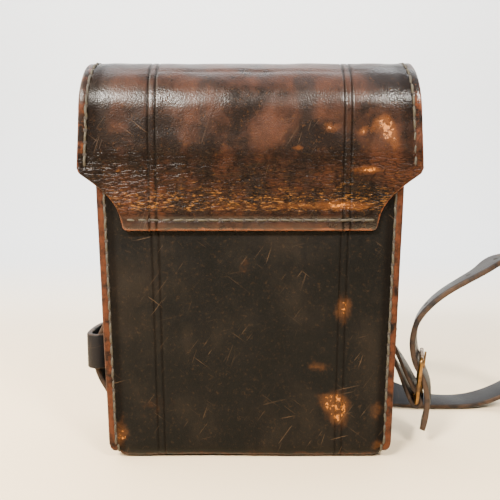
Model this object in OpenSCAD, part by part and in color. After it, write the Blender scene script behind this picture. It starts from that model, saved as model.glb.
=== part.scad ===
// Box-shaped leather carrying case for a camera: a stitched body, a deep
// lid hinged along the back by its own leather, a strap and buckle in front
// and a shoulder strap. The hinged back faces -Y, the buckled front faces +Y.

/* [Body] */
// Outer width of the body
body_w = 130; // [110:1:150]
// Outer depth of the body
body_d = 52; // [46:1:64]
// Height of the body's rim above the table
body_h = 139; // [137:1:140]
// Thickness of the case leather
leather = 2.6; // [2:0.1:3]
// Outer radius where the body strip turns under the case
foot_r = 7; // [5:0.5:10]
// Width of the end panels' sewn flanges
flange_w = 10; // [8:0.5:12]
// Thickness of the flanges, pared for sewing
flange_t = 1.6; // [1.2:0.1:2]
// Thickness of the cloth lining
lining_t = 1; // [0.6:0.1:1.2]

/* [Lid] */
// Outer width of the lid
lid_w = 144; // [141:1:146]
// Height of the lid's highest point
lid_top = 174; // [170:1:180]
// Height of the lid's free lower edge
lid_hem = 128; // [127.5:0.1:130]
// Height of the line where the back leather folds
hinge_z = 126; // [124:0.5:127]
// Gap between the lid's front and the body's front
front_gap = 2.2; // [2.2:0.1:3]
// Radius of the lid's upper back edge
rear_r = 16; // [12:1:18]
// Radius of the lid's upper front edge
front_r = 12; // [10:1:16]
// Radius of the crown across the lid's top
crown_r = 110; // [90:5:200]
// How much each lid end leans in from hem to top
lid_lean = 2.8; // [0:0.2:6]

/* [Back flap] */
// Height of the sewn back flap's lower edge
flap_z = 102; // [98:1:106]
// Half width of that lower edge
flap_low = 53; // [48:1:56]
// Height of the flap's stitch row
flap_row_z = 106.5; // [104:0.5:108]

/* [Stitches] */
// Distance between stitches
pitch = 5; // [4:0.5:6]
// Length of a stitch
stitch_l = 3.4; // [2.5:0.1:4]
// Thickness of the thread
thread = 0.9; // [0.6:0.1:1.2]
// How far a stitch stands out of the leather
stitch_h = 0.4; // [0.2:0.1:0.6]
// Distance of the seams from the edges
seam_in = 3.5; // [3:0.1:4.5]

/* [Straps] */
// Width of the shoulder strap
strap_w = 16; // [14:1:18]
// Thickness of the shoulder strap
strap_t = 2.5; // [2:0.1:3]
// Diameter of the buckle wire
wire = 2; // [1.6:0.1:2.2]
// Radius of the strap's outer coil turn
coil_r = 58; // [54:1:60]
// Distance between coil turns
coil_pitch = 6.5; // [6:0.5:8]
// How far the open closing strap stands off the front
tilt = 35; // [34:1:38]

/* [Hidden] */
$fn = 48;

half_w = body_w / 2;
half_d = body_d / 2;
lid_half = lid_w / 2;
back_gap = 0.3;
back_y = -half_d - back_gap - leather;
front_y = half_d + front_gap + leather;
lid_mid_y = (back_y + front_y) / 2;
crown_z = lid_top - crown_r;
rear_y = back_y + rear_r;
rear_z = crown_z + sqrt(pow(crown_r - rear_r, 2) - pow(rear_y - lid_mid_y, 2));
fore_y = front_y - front_r;
fore_z = crown_z + sqrt(pow(crown_r - front_r, 2) - pow(fore_y - lid_mid_y, 2));
rear_a = atan2(rear_z - crown_z, rear_y - lid_mid_y);
fore_a = atan2(fore_z - crown_z, fore_y - lid_mid_y);
fold_gap = 0.2;
lean_a = atan(lid_lean / (lid_top - lid_hem));

leather_dark = [0.20, 0.14, 0.10];
leather_brown = [0.32, 0.17, 0.10];
leather_edge = [0.45, 0.24, 0.12];
strap_dark = [0.13, 0.12, 0.13];
thread_tan = [0.45, 0.40, 0.28];
cloth_red = [0.34, 0.12, 0.13];
brass = [0.62, 0.47, 0.22];

// Points of an arc about c, from angle a to angle b
function arc(c, r, a, b, n = 10) =
  [for (i = [0:n]) c + r * [cos(a + (b - a) * i / n), sin(a + (b - a) * i / n)]];

// The lid's side outline, set in by t, from the back hem over the top
function lid_outline(t, low_back, low_front) = concat(
  [[back_y + t, low_back]],
  arc([rear_y, rear_z], rear_r - t, 180, rear_a),
  arc([lid_mid_y, crown_z], crown_r - t, rear_a - 2, fore_a + 2),
  arc([fore_y, fore_z], front_r - t, fore_a, 0),
  [[front_y - t, low_front]]);

// The body's side outline, set in by t, from the back rim under the case
function body_outline(t, rim) = concat(
  [[-half_d + t, rim]],
  arc([-half_d + foot_r, foot_r], foot_r - t, 180, 270),
  arc([half_d - foot_r, foot_r], foot_r - t, 270, 360),
  [[half_d - t, rim]]);

function reversed(p) = [for (i = [len(p) - 1:-1:0]) p[i]];

// Draws a side outline, given in Y and Z, from x0 to x1
module along_x(x0, x1) {
  translate([x0, 0, 0])
    rotate([90, 0, 90])
      linear_extrude(x1 - x0) children();
}

module body_skin(t0, t1, rim) {
  polygon(concat(body_outline(t0, rim), reversed(body_outline(t1, rim))));
}

module lid_skin(t0, t1, low_back, low_front) {
  polygon(concat(lid_outline(t0, low_back, low_front),
                 reversed(lid_outline(t1, low_back, low_front))));
}

// ---- body ----
module body_strip() {
  color(leather_dark) along_x(-half_w, half_w) body_skin(0, leather, body_h);
}

// One end panel with its flange, on the right
module body_end() {
  color(leather_brown) {
    along_x(half_w - leather, half_w) polygon(body_outline(leather, body_h));
    along_x(half_w - flange_w, half_w - leather)
      body_skin(leather, leather + flange_t, body_h);
  }
}

module body_end_left() {
  mirror([1, 0, 0]) body_end();
}

module body_end_right() {
  body_end();
}

lining_in = leather + flange_t;

module body_lining() {
  color(cloth_red)
    along_x(-half_w + leather + lining_t, half_w - leather - lining_t)
      body_skin(lining_in, lining_in + lining_t, body_h - 1);
}

module lining_end() {
  color(cloth_red)
    along_x(half_w - leather - lining_t, half_w - leather)
      polygon(body_outline(lining_in, body_h - 1));
}

module lining_end_left() {
  mirror([1, 0, 0]) lining_end();
}

module lining_end_right() {
  lining_end();
}

// A stitch lying along Z on a wall that faces +Y
module stitch() {
  translate([-thread / 2, 0, -stitch_l / 2]) cube([thread, stitch_h, stitch_l]);
}

// A stitch lying along X on a wall that faces +Y
module cross_stitch() {
  rotate([0, 90, 0]) stitch();
}

module seam_column(x, z0, z1) {
  count = floor((z1 - z0) / pitch);
  for (i = [0:count]) translate([x, 0, z0 + i * pitch]) stitch();
}

module cross_row(half_len, z, step) {
  count = floor(half_len / step);
  for (i = [-count:count]) translate([i * step, 0, z]) cross_stitch();
}

module body_thread() {
  color(thread_tan) {
    translate([0, half_d, 0]) seam_column(half_w - seam_in, 10, body_h - 4);
    mirror([0, 1, 0])
      translate([0, half_d, 0]) seam_column(half_w - seam_in, 10, flap_z - 3);
  }
}

module body_thread_left() {
  mirror([1, 0, 0]) body_thread();
}

module body_thread_right() {
  body_thread();
}

// ---- back flap, sewn to the body below the fold ----
flap_side = [
  [lid_half - 0.5, hinge_z - fold_gap], [66.5, 122.5], [62, 119],
  [57.5, 114.5], [54.5, 109], [flap_low + 0.6, 103.5], [flap_low - 1, flap_z]
];

module hinge_flap() {
  mirrored = [for (p = reversed(flap_side)) [-p[0], p[1]]];
  color(leather_brown)
    translate([0, -half_d, 0])
      rotate([90, 0, 0])
        linear_extrude(leather + back_gap) polygon(concat(flap_side, mirrored));
}

module hinge_thread() {
  color(thread_tan)
    mirror([0, 1, 0])
      translate([0, half_d + back_gap + leather, 0]) cross_row(flap_low - 4, flap_row_z, pitch);
}

// ---- left side loop ----
loop_z = 41;
loop_rise = 21;
loop_out = 12;
loop_t = 2.4;
loop_r = (pow(loop_rise, 2) + pow(loop_out, 2)) / (2 * loop_out);
loop_tab = 12;
loop_w = 16;

module loop_shape() {
  intersection() {
    difference() {
      translate([-half_w - loop_out + loop_r, loop_z]) circle(loop_r, $fn = 96);
      translate([-half_w - loop_out + loop_r, loop_z]) circle(loop_r - loop_t, $fn = 96);
    }
    translate([-half_w - loop_out - 1, 0]) square([loop_out + 1, 100]);
  }
  for (s = [-1, 1])
    translate([-half_w - loop_t, loop_z + s * (loop_rise + loop_tab / 2 - 1.5) - loop_tab / 2])
      square([loop_t, loop_tab]);
}

module side_loop_left() {
  color(leather_dark)
    rotate([90, 0, 0])
      translate([0, 0, -loop_w / 2]) linear_extrude(loop_w) loop_shape();
}

module side_loop_thread() {
  color(thread_tan)
    for (s = [-1, 1], y = [-5, 0, 5])
      translate([-half_w - loop_t, y, loop_z + s * (loop_rise + 8)])
        rotate([0, 0, 90]) cross_stitch();
}

// ---- right side chape and its heel-bar buckle ----
heel = [79.5, 21];
top_bar = [81.2, 42];
chape_t = 2;
chape_w = 15;
chape_top = 60;
wall_x = half_w;
bore_gap = 0.08;

// A straight layer of leather between two points of the side view
module layer(a, b, t) {
  d = (b - a) / norm(b - a);
  n = [-d[1], d[0]] * t / 2;
  polygon([a + n, a - n, b - n, b + n]);
}

chape_eye = wire / 2 + bore_gap + chape_t;
chape_dir = ([wall_x + 1.2, 46] - heel) / norm([wall_x + 1.2, 46] - heel);
chape_side = [-chape_dir[1], chape_dir[0]];

module chape_shape() {
  difference() {
    union() {
      translate(heel) circle(chape_eye, $fn = 40);
      for (s = [-1, 1])
        layer(heel + s * chape_side * (chape_eye - chape_t / 2),
              [wall_x + 2.2, 47] + s * chape_side * (chape_t / 2 + 0.1), chape_t);
      translate([wall_x, 43.5]) square([2 * chape_t + 0.4, chape_top - 43.5]);
    }
    translate(heel) circle(wire / 2 + bore_gap, $fn = 40);
    translate([wall_x - 10, 0]) square([10, 100]);
  }
}

module strap_chape_right() {
  color(strap_dark)
    difference() {
      rotate([90, 0, 0])
        translate([0, 0, -chape_w / 2]) linear_extrude(chape_w) chape_shape();
      // slot for the prong's eye
      translate([heel[0] - 4.2, -1.6, heel[1] - 5]) cube([10, 3.2, 12]);
    }
}

module chape_thread() {
  color(thread_tan)
    for (z = [51, 57], y = [-4.5, 0, 4.5])
      translate([wall_x + 2 * chape_t + 0.4, y, z]) rotate([0, 0, -90]) cross_stitch();
}

buckle_w = 21;

// A rod of the buckle wire between two points
module rod(a, b, d) {
  v = b - a;
  translate(a)
    rotate([0, acos(v[2] / norm(v)), atan2(v[1], v[0])])
      cylinder(h = norm(v), d = d, $fn = 32);
}

module frame_of(a, b, w, d) {
  for (s = [-1, 1]) {
    rod([a[0], s * w / 2, a[1]], [b[0], s * w / 2, b[1]], d);
    translate([a[0], s * w / 2, a[1]]) sphere(d = d, $fn = 32);
    translate([b[0], s * w / 2, b[1]]) sphere(d = d, $fn = 32);
  }
  for (p = [a, b]) rod([p[0], -w / 2, p[1]], [p[0], w / 2, p[1]], d);
}

module strap_buckle() {
  color(brass) frame_of(heel, top_bar, buckle_w - wire, wire);
}

// The prong's eye sits on the heel bar and its tip on the top bar
module strap_prong() {
  tip = top_bar + [wire / 2 + 0.9, 1.5];
  color(brass)
    difference() {
      union() {
        translate([heel[0], 1.2, heel[1]]) rotate([90, 0, 0]) cylinder(h = 2.4, r = 2.3, $fn = 40);
        rod([heel[0] + 1.9, 0, heel[1] + 1.4], [tip[0], 0, tip[1]], 1.5);
      }
      translate([heel[0], 5, heel[1]]) rotate([90, 0, 0]) cylinder(h = 10, r = wire / 2 + 0.05, $fn = 40);
    }
}

// ---- shoulder strap ----
// Route: x, y, z and the turn of the strap's width from Y towards Z
route_out = [
  [82.0, 0, 3.6, 0], [83.6, 0, 11, 0], [84.5, 0, 17, 0], [84.6, 0, 22, 0],
  [83.9, 0, 28, 0], [81.7, 0, 34, 0], [79.0, 0, 39.5, 0], [77.6, 0, 45, 0],
  [77.3, 0, 51, 0], [79.2, 0.3, 59, 0], [84.6, 1, 66.6, 0], [92.6, 2.5, 73.4, 0],
  [103.4, 5, 79.6, 0], [116.2, 8.5, 84.2, 0], [130, 12.5, 85.5, 0], [143, 17, 82.5, 0],
  [154, 21.5, 74, 0], [161, 26, 61, 0], [162.5, 30, 46, 0], [158, 34, 31, 0],
  [148, 37, 17.5, 0], [135, 39, 8, 0], [121, 40.3, 2.7, 0], [107, 41, 1.5, 0],
  [94, 41.3, 2.5, 8], [82, 41.5, 5, 28], [70, 41.5, 7.3, 52], [58, 41.3, 8.2, 74],
  [45, 41, 8.2, 90], [29, 41, 8.2, 90], [12, 41, 8.2, 90]
];
coil_c = [12, 99];
coil_turns = 1.5;
coil_in = coil_r - coil_pitch * coil_turns;
climb = 0.44;
climb_r = 43;
climb_z = 25;
// The last part of a turn, rising inside the coil
route_climb = [
  for (i = [1:8])
    let (f = i / 8, a = -90 - 360 * (coil_turns + climb * f),
         r = coil_in + (climb_r - coil_in) * min(1, 2 * f))
      [coil_c[0] + r * cos(a), coil_c[1] + r * sin(a), 8.2 + (climb_z - 8.2) * f, 90]
];
route_home = concat(
  [[coil_c[0], coil_c[1] + coil_in, 8.2, 90]],
  route_climb,
  [[14, 52.5, 27, 90], [0, 49.5, 28.5, 90], [-14, 47, 30.5, 90], [-28, 44.5, 33, 90],
   [-42, 41.5, 36, 90], [-54, 37.5, 39, 90], [-64, 31.5, 42, 90], [-69.4, 23.5, 44, 90],
   [-69.6, 15, 45, 90], [-68.7, 7, 45, 90], [-68.4, 0, 45, 90], [-68.6, -6, 45, 90],
   [-70, -9.6, 45, 90], [-73.4, -11, 45, 90], [-76.8, -9.6, 45, 90], [-78.5, -6, 45, 90],
   [-78.6, 1, 45, 90], [-77.6, 8, 45, 90], [-74.9, 14, 45, 90], [-72.6, 20, 44.4, 90],
   [-71.6, 26, 43.3, 90], [-68.2, 31.6, 42.2, 90]]);

function unit(v) = v / norm(v);
function place(p) = [p[0], p[1], p[2]];
function heading(r, i) =
  unit(place(r[min(i + 1, len(r) - 1)]) - place(r[max(i - 1, 0)]));
function across(r, i) =
  let (t = heading(r, i), w = [0, cos(r[i][3]), sin(r[i][3])]) unit(w - t * (t * w));
strap_section = [
  for (s = [-1, 1], q = [[-1.25, -7.4], [-0.65, -8], [0.65, -8], [1.25, -7.4]])
    s * [q[0] * strap_t / 2.5, q[1] * strap_w / 16]
];
sides = len(strap_section);

// A flat strap swept along a route
module strap_along(r) {
  points = [
    for (i = [0:len(r) - 1])
      let (w = across(r, i), n = cross(heading(r, i), w))
        for (q = strap_section) place(r[i]) + n * q[0] + w * q[1]
  ];
  last = (len(r) - 1) * sides;
  ends = [[for (k = [0:sides - 1]) k], [for (k = [sides - 1:-1:0]) last + k]];
  walls = [
    for (i = [0:len(r) - 2], k = [0:sides - 1])
      let (a = i * sides + k, b = i * sides + (k + 1) % sides)
        for (f = [[a, a + sides, b], [b, a + sides, b + sides]]) f
  ];
  polyhedron(points, concat(ends, walls));
}

module shoulder_strap() {
  color(strap_dark) strap_along(route_out);
}

module shoulder_strap_coil() {
  color(strap_dark)
    translate([coil_c[0], coil_c[1], 0.2])
      rotate_extrude($fn = 96)
        translate([coil_in - strap_t / 2, 0])
          square([coil_r - coil_in + strap_t, strap_w]);
}

module shoulder_strap_end() {
  color(strap_dark) strap_along(route_home);
}

module strap_end_thread() {
  color(thread_tan)
    for (z = [39, 42, 45, 48, 51])
      translate([-79.95, -1, z]) rotate([0, 0, 90]) stitch_short();
}

module stitch_short() {
  translate([-thread / 2, 0, -1.1]) cube([thread, stitch_h, 2.2]);
}

// ---- front closure on the body ----
pivot = [28.7, 86];
chape_front_w = 15;
front_t = 1.6;
front_eye = wire / 2 + bore_gap + front_t;

module front_chape_shape() {
  difference() {
    union() {
      translate(pivot) circle(front_eye, $fn = 40);
      translate([half_d, 58]) square([front_t, pivot[1] - 58]);
      translate([pivot[0] + front_eye - front_t, 58]) square([front_t, pivot[1] - 58]);
      translate([half_d, 58]) square([pivot[0] + front_eye - half_d, 18]);
    }
    translate(pivot) circle(wire / 2 + bore_gap, $fn = 40);
    translate([half_d - 5, 0]) square([5, 200]);
  }
}

module front_chape() {
  color(leather_dark)
    difference() {
      along_x(-chape_front_w / 2, chape_front_w / 2) front_chape_shape();
      translate([-1.6, half_d, pivot[1] - 6]) cube([3.2, 8, 12]);
    }
}

chape_face = pivot[0] + front_eye;

module front_chape_thread() {
  color(thread_tan)
    for (x = [-5.6, 5.6], z = [61, 66, 71, 76])
      translate([x, chape_face, z]) stitch_short();
}

keeper_gap = 4.6;
keeper_t = 1.8;
keeper_h = 8;
keeper_in = 9.5;

module front_keeper() {
  reach = chape_face + keeper_gap + keeper_t - half_d;
  color(leather_dark)
    translate([0, half_d, 46]) {
      for (s = [-1, 1])
        translate([s > 0 ? keeper_in : -keeper_in - keeper_t, 0, 0]) cube([keeper_t, reach, keeper_h]);
      translate([-keeper_in, reach - keeper_t, 0]) cube([2 * keeper_in, keeper_t, keeper_h]);
      translate([-keeper_in, 0, 0]) cube([2 * keeper_in, keeper_t, keeper_h]);
    }
}

front_bar = [27.6, 108];

module front_buckle_frame() {
  color(brass)
    rotate([0, 0, 90]) frame_of(pivot, front_bar, buckle_w - wire, wire);
}

module front_buckle_prong() {
  tip = front_bar + [wire / 2 + 0.85, 1.2];
  color(brass)
    difference() {
      union() {
        translate([-1.2, pivot[0], pivot[1]]) rotate([0, 90, 0]) cylinder(h = 2.4, r = 2.3, $fn = 40);
        rod([0, pivot[0] + 1.5, pivot[1] + 1.6], [0, tip[0], tip[1]], 1.4);
      }
      translate([-5, pivot[0], pivot[1]]) rotate([0, 90, 0]) cylinder(h = 10, r = wire / 2 + 0.05, $fn = 40);
    }
}

// ---- lid ----
// Leans a right-hand piece in about the lid's hem
module leaning() {
  translate([lid_half, 0, lid_hem])
    rotate([0, -lean_a, 0])
      translate([-lid_half, 0, -lid_hem]) children();
}

// The space between the two leaning ends, set in by t
module between_ends(t) {
  top = lid_half - t - lid_lean;
  low = lid_half - t;
  translate([0, 100, 0])
    rotate([90, 0, 0])
      linear_extrude(200)
        polygon([[-low, 100], [low, 100], [low, lid_hem], [top, lid_top], [-top, lid_top], [-low, lid_hem]]);
}

module lid_strip() {
  color(leather_brown)
    intersection() {
      along_x(-lid_half, lid_half) lid_skin(0, leather, hinge_z + fold_gap, lid_hem);
      between_ends(0);
    }
}

module lid_end() {
  color(leather_brown) leaning() {
    along_x(lid_half - leather, lid_half) polygon(lid_outline(leather, lid_hem, lid_hem));
    along_x(lid_half - leather - 4, lid_half - leather)
      difference() {
        polygon(lid_outline(leather, body_h + 2, body_h + 2));
        polygon(lid_outline(leather + flange_t, body_h - 20, body_h - 20));
      }
  }
}

module lid_end_left() {
  mirror([1, 0, 0]) lid_end();
}

module lid_end_right() {
  lid_end();
}

// The lining keeps clear of the end panels' turned-in edges
module lid_lining() {
  color(cloth_red)
    intersection() {
      along_x(-lid_half + leather, lid_half - leather)
        difference() {
          polygon(lid_outline(leather + flange_t + 0.5, body_h + 2, body_h + 2));
          polygon(lid_outline(leather + flange_t + 0.5 + lining_t, body_h - 20, body_h - 20));
        }
      between_ends(leather + 5);
    }
}

// Where a lid end's outer face is at height z
function end_x(z) = lid_half - lid_lean * (z - lid_hem) / (lid_top - lid_hem);

module lid_column(z0, z1) {
  count = floor((z1 - z0) / pitch);
  for (z = [z0:pitch:z0 + count * pitch]) translate([end_x(z) - seam_in, 0, z]) stitch();
}

// Stitches along an arc of the lid's outline, from angle a to angle b
module arc_stitches(c, r, a, b, count) {
  for (i = [0:count - 1])
    let (t = a + (b - a) * (i + 0.5) / count)
      translate([end_x(c[1] + r * sin(t)) - seam_in, c[0], c[1]])
        rotate([t - 90, 0, 0]) translate([0, 0, r]) rotate([90, 0, 0]) stitch();
}

module lid_thread() {
  color(thread_tan) {
    mirror([0, 1, 0]) translate([0, -back_y, 0]) lid_column(lid_hem + 3, rear_z);
    translate([0, front_y, 0]) lid_column(lid_hem + 3, fore_z);
    arc_stitches([rear_y, rear_z], rear_r, 174, rear_a, 4);
    arc_stitches([lid_mid_y, crown_z], crown_r, rear_a, fore_a, 7);
    arc_stitches([fore_y, fore_z], front_r, fore_a, 8, 3);
  }
}

module lid_thread_left() {
  mirror([1, 0, 0]) lid_thread();
}

module lid_thread_right() {
  lid_thread();
}

// ---- closing strap ----
closing_t = 2.4;
closing_l = 62;
closing_pivot = [front_y + closing_t / 2, lid_hem + 1];

module closing_strap_tab() {
  color(leather_dark)
    translate([-strap_w / 2, front_y, lid_hem + 3]) cube([strap_w, closing_t, 27]);
}

module closing_tab_thread() {
  color(thread_tan)
    translate([0, front_y + closing_t, 0]) {
      for (s = [-1, 1]) seam_column(s * (strap_w / 2 - 2.2), lid_hem + 8, lid_hem + 26);
      for (z = [lid_hem + 5.6, lid_hem + 27.6]) cross_row(strap_w / 2 - 5, z, 4.5);
    }
}

// The tongue in its own flat frame, hanging from the pivot
module closing_outline() {
  difference() {
    polygon(concat(
      [[-strap_w / 2, -1.5]], [[-strap_w / 2, -closing_l + 9]],
      arc([3.2, -closing_l + 9], strap_w / 2 + 3.2, 180, 250, 6),
      [[0, -closing_l - 2]],
      arc([-3.2, -closing_l + 9], strap_w / 2 + 3.2, 290, 360, 6),
      [[strap_w / 2, -1.5]]));
    for (i = [0:3]) translate([0, -28 - 7 * i]) circle(r = 1.4, $fn = 32);
  }
}

module closing_strap() {
  color(leather_dark)
    translate([0, closing_pivot[0], closing_pivot[1]])
      rotate([tilt, 0, 0])
        translate([0, closing_t / 2, 0])
          rotate([90, 0, 0]) linear_extrude(closing_t) closing_outline();
}

body_strip();
body_end_left();
body_end_right();
body_lining();
lining_end_left();
lining_end_right();
body_thread_left();
body_thread_right();
hinge_flap();
hinge_thread();
side_loop_left();
side_loop_thread();
strap_chape_right();
chape_thread();
strap_buckle();
strap_prong();
shoulder_strap();
shoulder_strap_coil();
shoulder_strap_end();
strap_end_thread();
front_chape();
front_chape_thread();
front_keeper();
lid_strip();
lid_end_left();
lid_end_right();
lid_lining();
lid_thread_left();
lid_thread_right();
closing_strap_tab();
closing_tab_thread();
closing_strap();
front_buckle_frame();
front_buckle_prong();
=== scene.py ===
import bmesh
import bpy
import math
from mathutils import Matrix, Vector, noise


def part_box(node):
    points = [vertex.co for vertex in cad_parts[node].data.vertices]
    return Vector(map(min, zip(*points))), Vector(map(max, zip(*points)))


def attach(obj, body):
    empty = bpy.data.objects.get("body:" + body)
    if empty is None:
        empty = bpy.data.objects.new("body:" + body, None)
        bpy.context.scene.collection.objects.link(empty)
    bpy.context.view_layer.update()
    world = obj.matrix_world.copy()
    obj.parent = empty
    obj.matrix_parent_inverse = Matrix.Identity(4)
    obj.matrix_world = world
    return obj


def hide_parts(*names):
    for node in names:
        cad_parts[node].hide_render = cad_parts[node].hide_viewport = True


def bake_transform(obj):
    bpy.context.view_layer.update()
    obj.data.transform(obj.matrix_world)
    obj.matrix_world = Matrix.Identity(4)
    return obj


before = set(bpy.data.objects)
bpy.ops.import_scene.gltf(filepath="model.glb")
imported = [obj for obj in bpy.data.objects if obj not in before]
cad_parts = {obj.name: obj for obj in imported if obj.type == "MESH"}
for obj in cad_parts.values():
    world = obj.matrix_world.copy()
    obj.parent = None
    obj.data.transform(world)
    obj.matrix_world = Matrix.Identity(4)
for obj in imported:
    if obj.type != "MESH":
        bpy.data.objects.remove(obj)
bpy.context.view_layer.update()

scene = bpy.context.scene
mm = 0.001


def boxOf(node):
    low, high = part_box(node)
    return Vector(low) / mm, Vector(high) / mm


stripHigh = boxOf("body_strip")[1]
lidLow, lidHigh = boxOf("lid_strip")
wingLow = boxOf("lid_end_right")[0]
flapLow = boxOf("hinge_flap")[0]

# Camera, lights and floor
cameraSet = {
    "place": (0.0, -278.7, 123.4),
    "down": 6.7,
    "turn": 0.0,
    "lens": 43.2,
}
lightSet = [
    # name, place in mm, aim in mm, size in m, watts, colour
    ("leftPanel", (-290, -500, 520), (0, 0, 140), (0.17, 0.09), 18.0, (1.0, 0.94, 0.84)),
    ("rightPanel", (310, -500, 530), (0, 0, 140), (0.15, 0.09), 9.0, (1.0, 0.95, 0.86)),
    ("topPanel", (40, 200, 900), (0, 140, 0), (1.3, 0.9), 6.0, (0.97, 0.98, 1.0)),
    ("wallPanel", (0, 330, 900), (0, 900, 260), (2.4, 0.5), 30.0, (0.98, 0.99, 1.0)),
    ("floorWarmth", (-500, -80, 420), (-60, 60, 0), (0.6, 0.6), 7.0, (1.0, 0.86, 0.66)),
]

worldSet = {"colour": (0.93, 0.95, 1.0, 1), "range": (0.10, 0.8, 0.25, 0.12)}


def makeCamera():
    data = bpy.data.cameras.new("camera")
    data.sensor_width = 36
    data.lens = cameraSet["lens"]
    data.clip_start = 0.01
    camera = bpy.data.objects.new("camera", data)
    scene.collection.objects.link(camera)
    camera.location = Vector(cameraSet["place"]) * mm
    camera.rotation_euler = (math.radians(90 - cameraSet["down"]), 0, -math.radians(cameraSet["turn"]))
    scene.camera = camera


def makeLights():
    for name, place, aim, size, watts, colour in lightSet:
        data = bpy.data.lights.new(name, "AREA")
        data.shape = "RECTANGLE"
        data.size, data.size_y = size
        data.energy = watts
        data.color = colour
        lamp = bpy.data.objects.new(name, data)
        scene.collection.objects.link(lamp)
        lamp.location = Vector(place) * mm
        aimLine = Vector(aim) - Vector(place)
        lamp.rotation_euler = aimLine.to_track_quat("-Z", "Y").to_euler()
    world = bpy.data.worlds.new("paleRoom")
    world.use_nodes = True
    # pale walls all round, a dimmer ceiling
    tree = world.node_tree
    background = tree.nodes["Background"]
    way = addNode(tree, "ShaderNodeSeparateXYZ", {0: tree.nodes.new("ShaderNodeTexCoord").outputs["Generated"]})
    feed(tree, background.inputs["Color"], worldSet["colour"])
    feed(tree, background.inputs["Strength"], rangeOf(tree, way.outputs["Z"], *worldSet["range"], "LINEAR"))
    scene.world = world


floorSet = {"half": 2200, "bend": 300, "wallY": 900, "wallTop": 2400, "steps": 16}


def makeFloor(material):
    half, bend, wallY = floorSet["half"], floorSet["bend"], floorSet["wallY"]
    line = [(-half, 0), (wallY - bend, 0)]
    for i in range(1, floorSet["steps"] + 1):
        a = math.pi / 2 * i / floorSet["steps"]
        line.append((wallY - bend + bend * math.sin(a), bend - bend * math.cos(a)))
    line.append((wallY, floorSet["wallTop"]))
    points = [(x, y, z) for y, z in line for x in (-half, half)]
    faces = [(2 * i, 2 * i + 1, 2 * i + 3, 2 * i + 2) for i in range(len(line) - 1)]
    floor = meshPiece("paleFloor", points, faces, material)


# Mesh tools
def meshPiece(name, points, faces, material, marks=None):
    mesh = bpy.data.meshes.new(name)
    mesh.from_pydata([tuple(c * mm for c in p) for p in points], [], faces)
    for key, values in (marks or {}).items():
        mesh.attributes.new(key, "FLOAT", "POINT").data.foreach_set("value", values)
    mesh.polygons.foreach_set("use_smooth", [True] * len(mesh.polygons))
    mesh.materials.append(material)
    mesh.update()
    piece = bpy.data.objects.new(name, mesh)
    scene.collection.objects.link(piece)
    return piece


def finishPiece(piece, body, slot, *nodes):
    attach(piece, body)
    if nodes:
        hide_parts(*nodes)


def smoothStep(low, high, value):
    t = min(1.0, max(0.0, (value - low) / (high - low)))
    return t * t * (3 - 2 * t)


def bump(value, centre, width):
    return math.exp(-((value - centre) / width) ** 2)


def waves(x, y, z, size, octaves=3):
    return noise.fractal(Vector((x, y, z)) / size, 0.6, 2.1, octaves)


def roundOff(distance, radius):
    # how far a worn edge falls away at this distance from it
    if distance >= radius:
        return 0.0
    return radius - math.sqrt(max(0.0, radius * radius - (radius - distance) ** 2))


# A side line of straight and round stretches in Y and Z, with its outward normals
def lineStretch(a, b):
    a, b = Vector(a), Vector(b)
    along = (b - a).normalized()
    normal = Vector((-along.y, along.x))
    return (b - a).length, lambda s: (a + along * s, normal)


def arcStretch(centre, radius, start, end):
    centre = Vector(centre)
    length = radius * math.radians(abs(end - start))

    def at(s):
        a = math.radians(start + (end - start) * s / length)
        normal = Vector((math.cos(a), math.sin(a)))
        return centre + normal * radius, normal

    return length, at


def alongLine(stretches, s):
    for length, at in stretches:
        if s <= length:
            return at(s)
        s -= length
    length, at = stretches[-1]
    return at(length)


def lineLength(stretches):
    return sum(length for length, at in stretches)


edgeSteps = (0, 0.12, 0.35, 0.75, 1.3, 2.1)


def spread(low, high, step):
    # places from one worn edge to the other, close together at both
    inner = high - low - 2 * edgeSteps[-1]
    count = max(1, round(inner / step))
    middle = [low + edgeSteps[-1] + inner * i / count for i in range(1, count)]
    return [low + e for e in edgeSteps] + middle + [high - e for e in reversed(edgeSteps)]


def evenColumns(widest, step):
    # the same number of columns in every row, drawn in where the row is short
    pattern = [c / widest for c in spread(-widest, widest, step)]
    return lambda low, high: [(low + high) / 2 + (high - low) / 2 * c for c in pattern]


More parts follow.
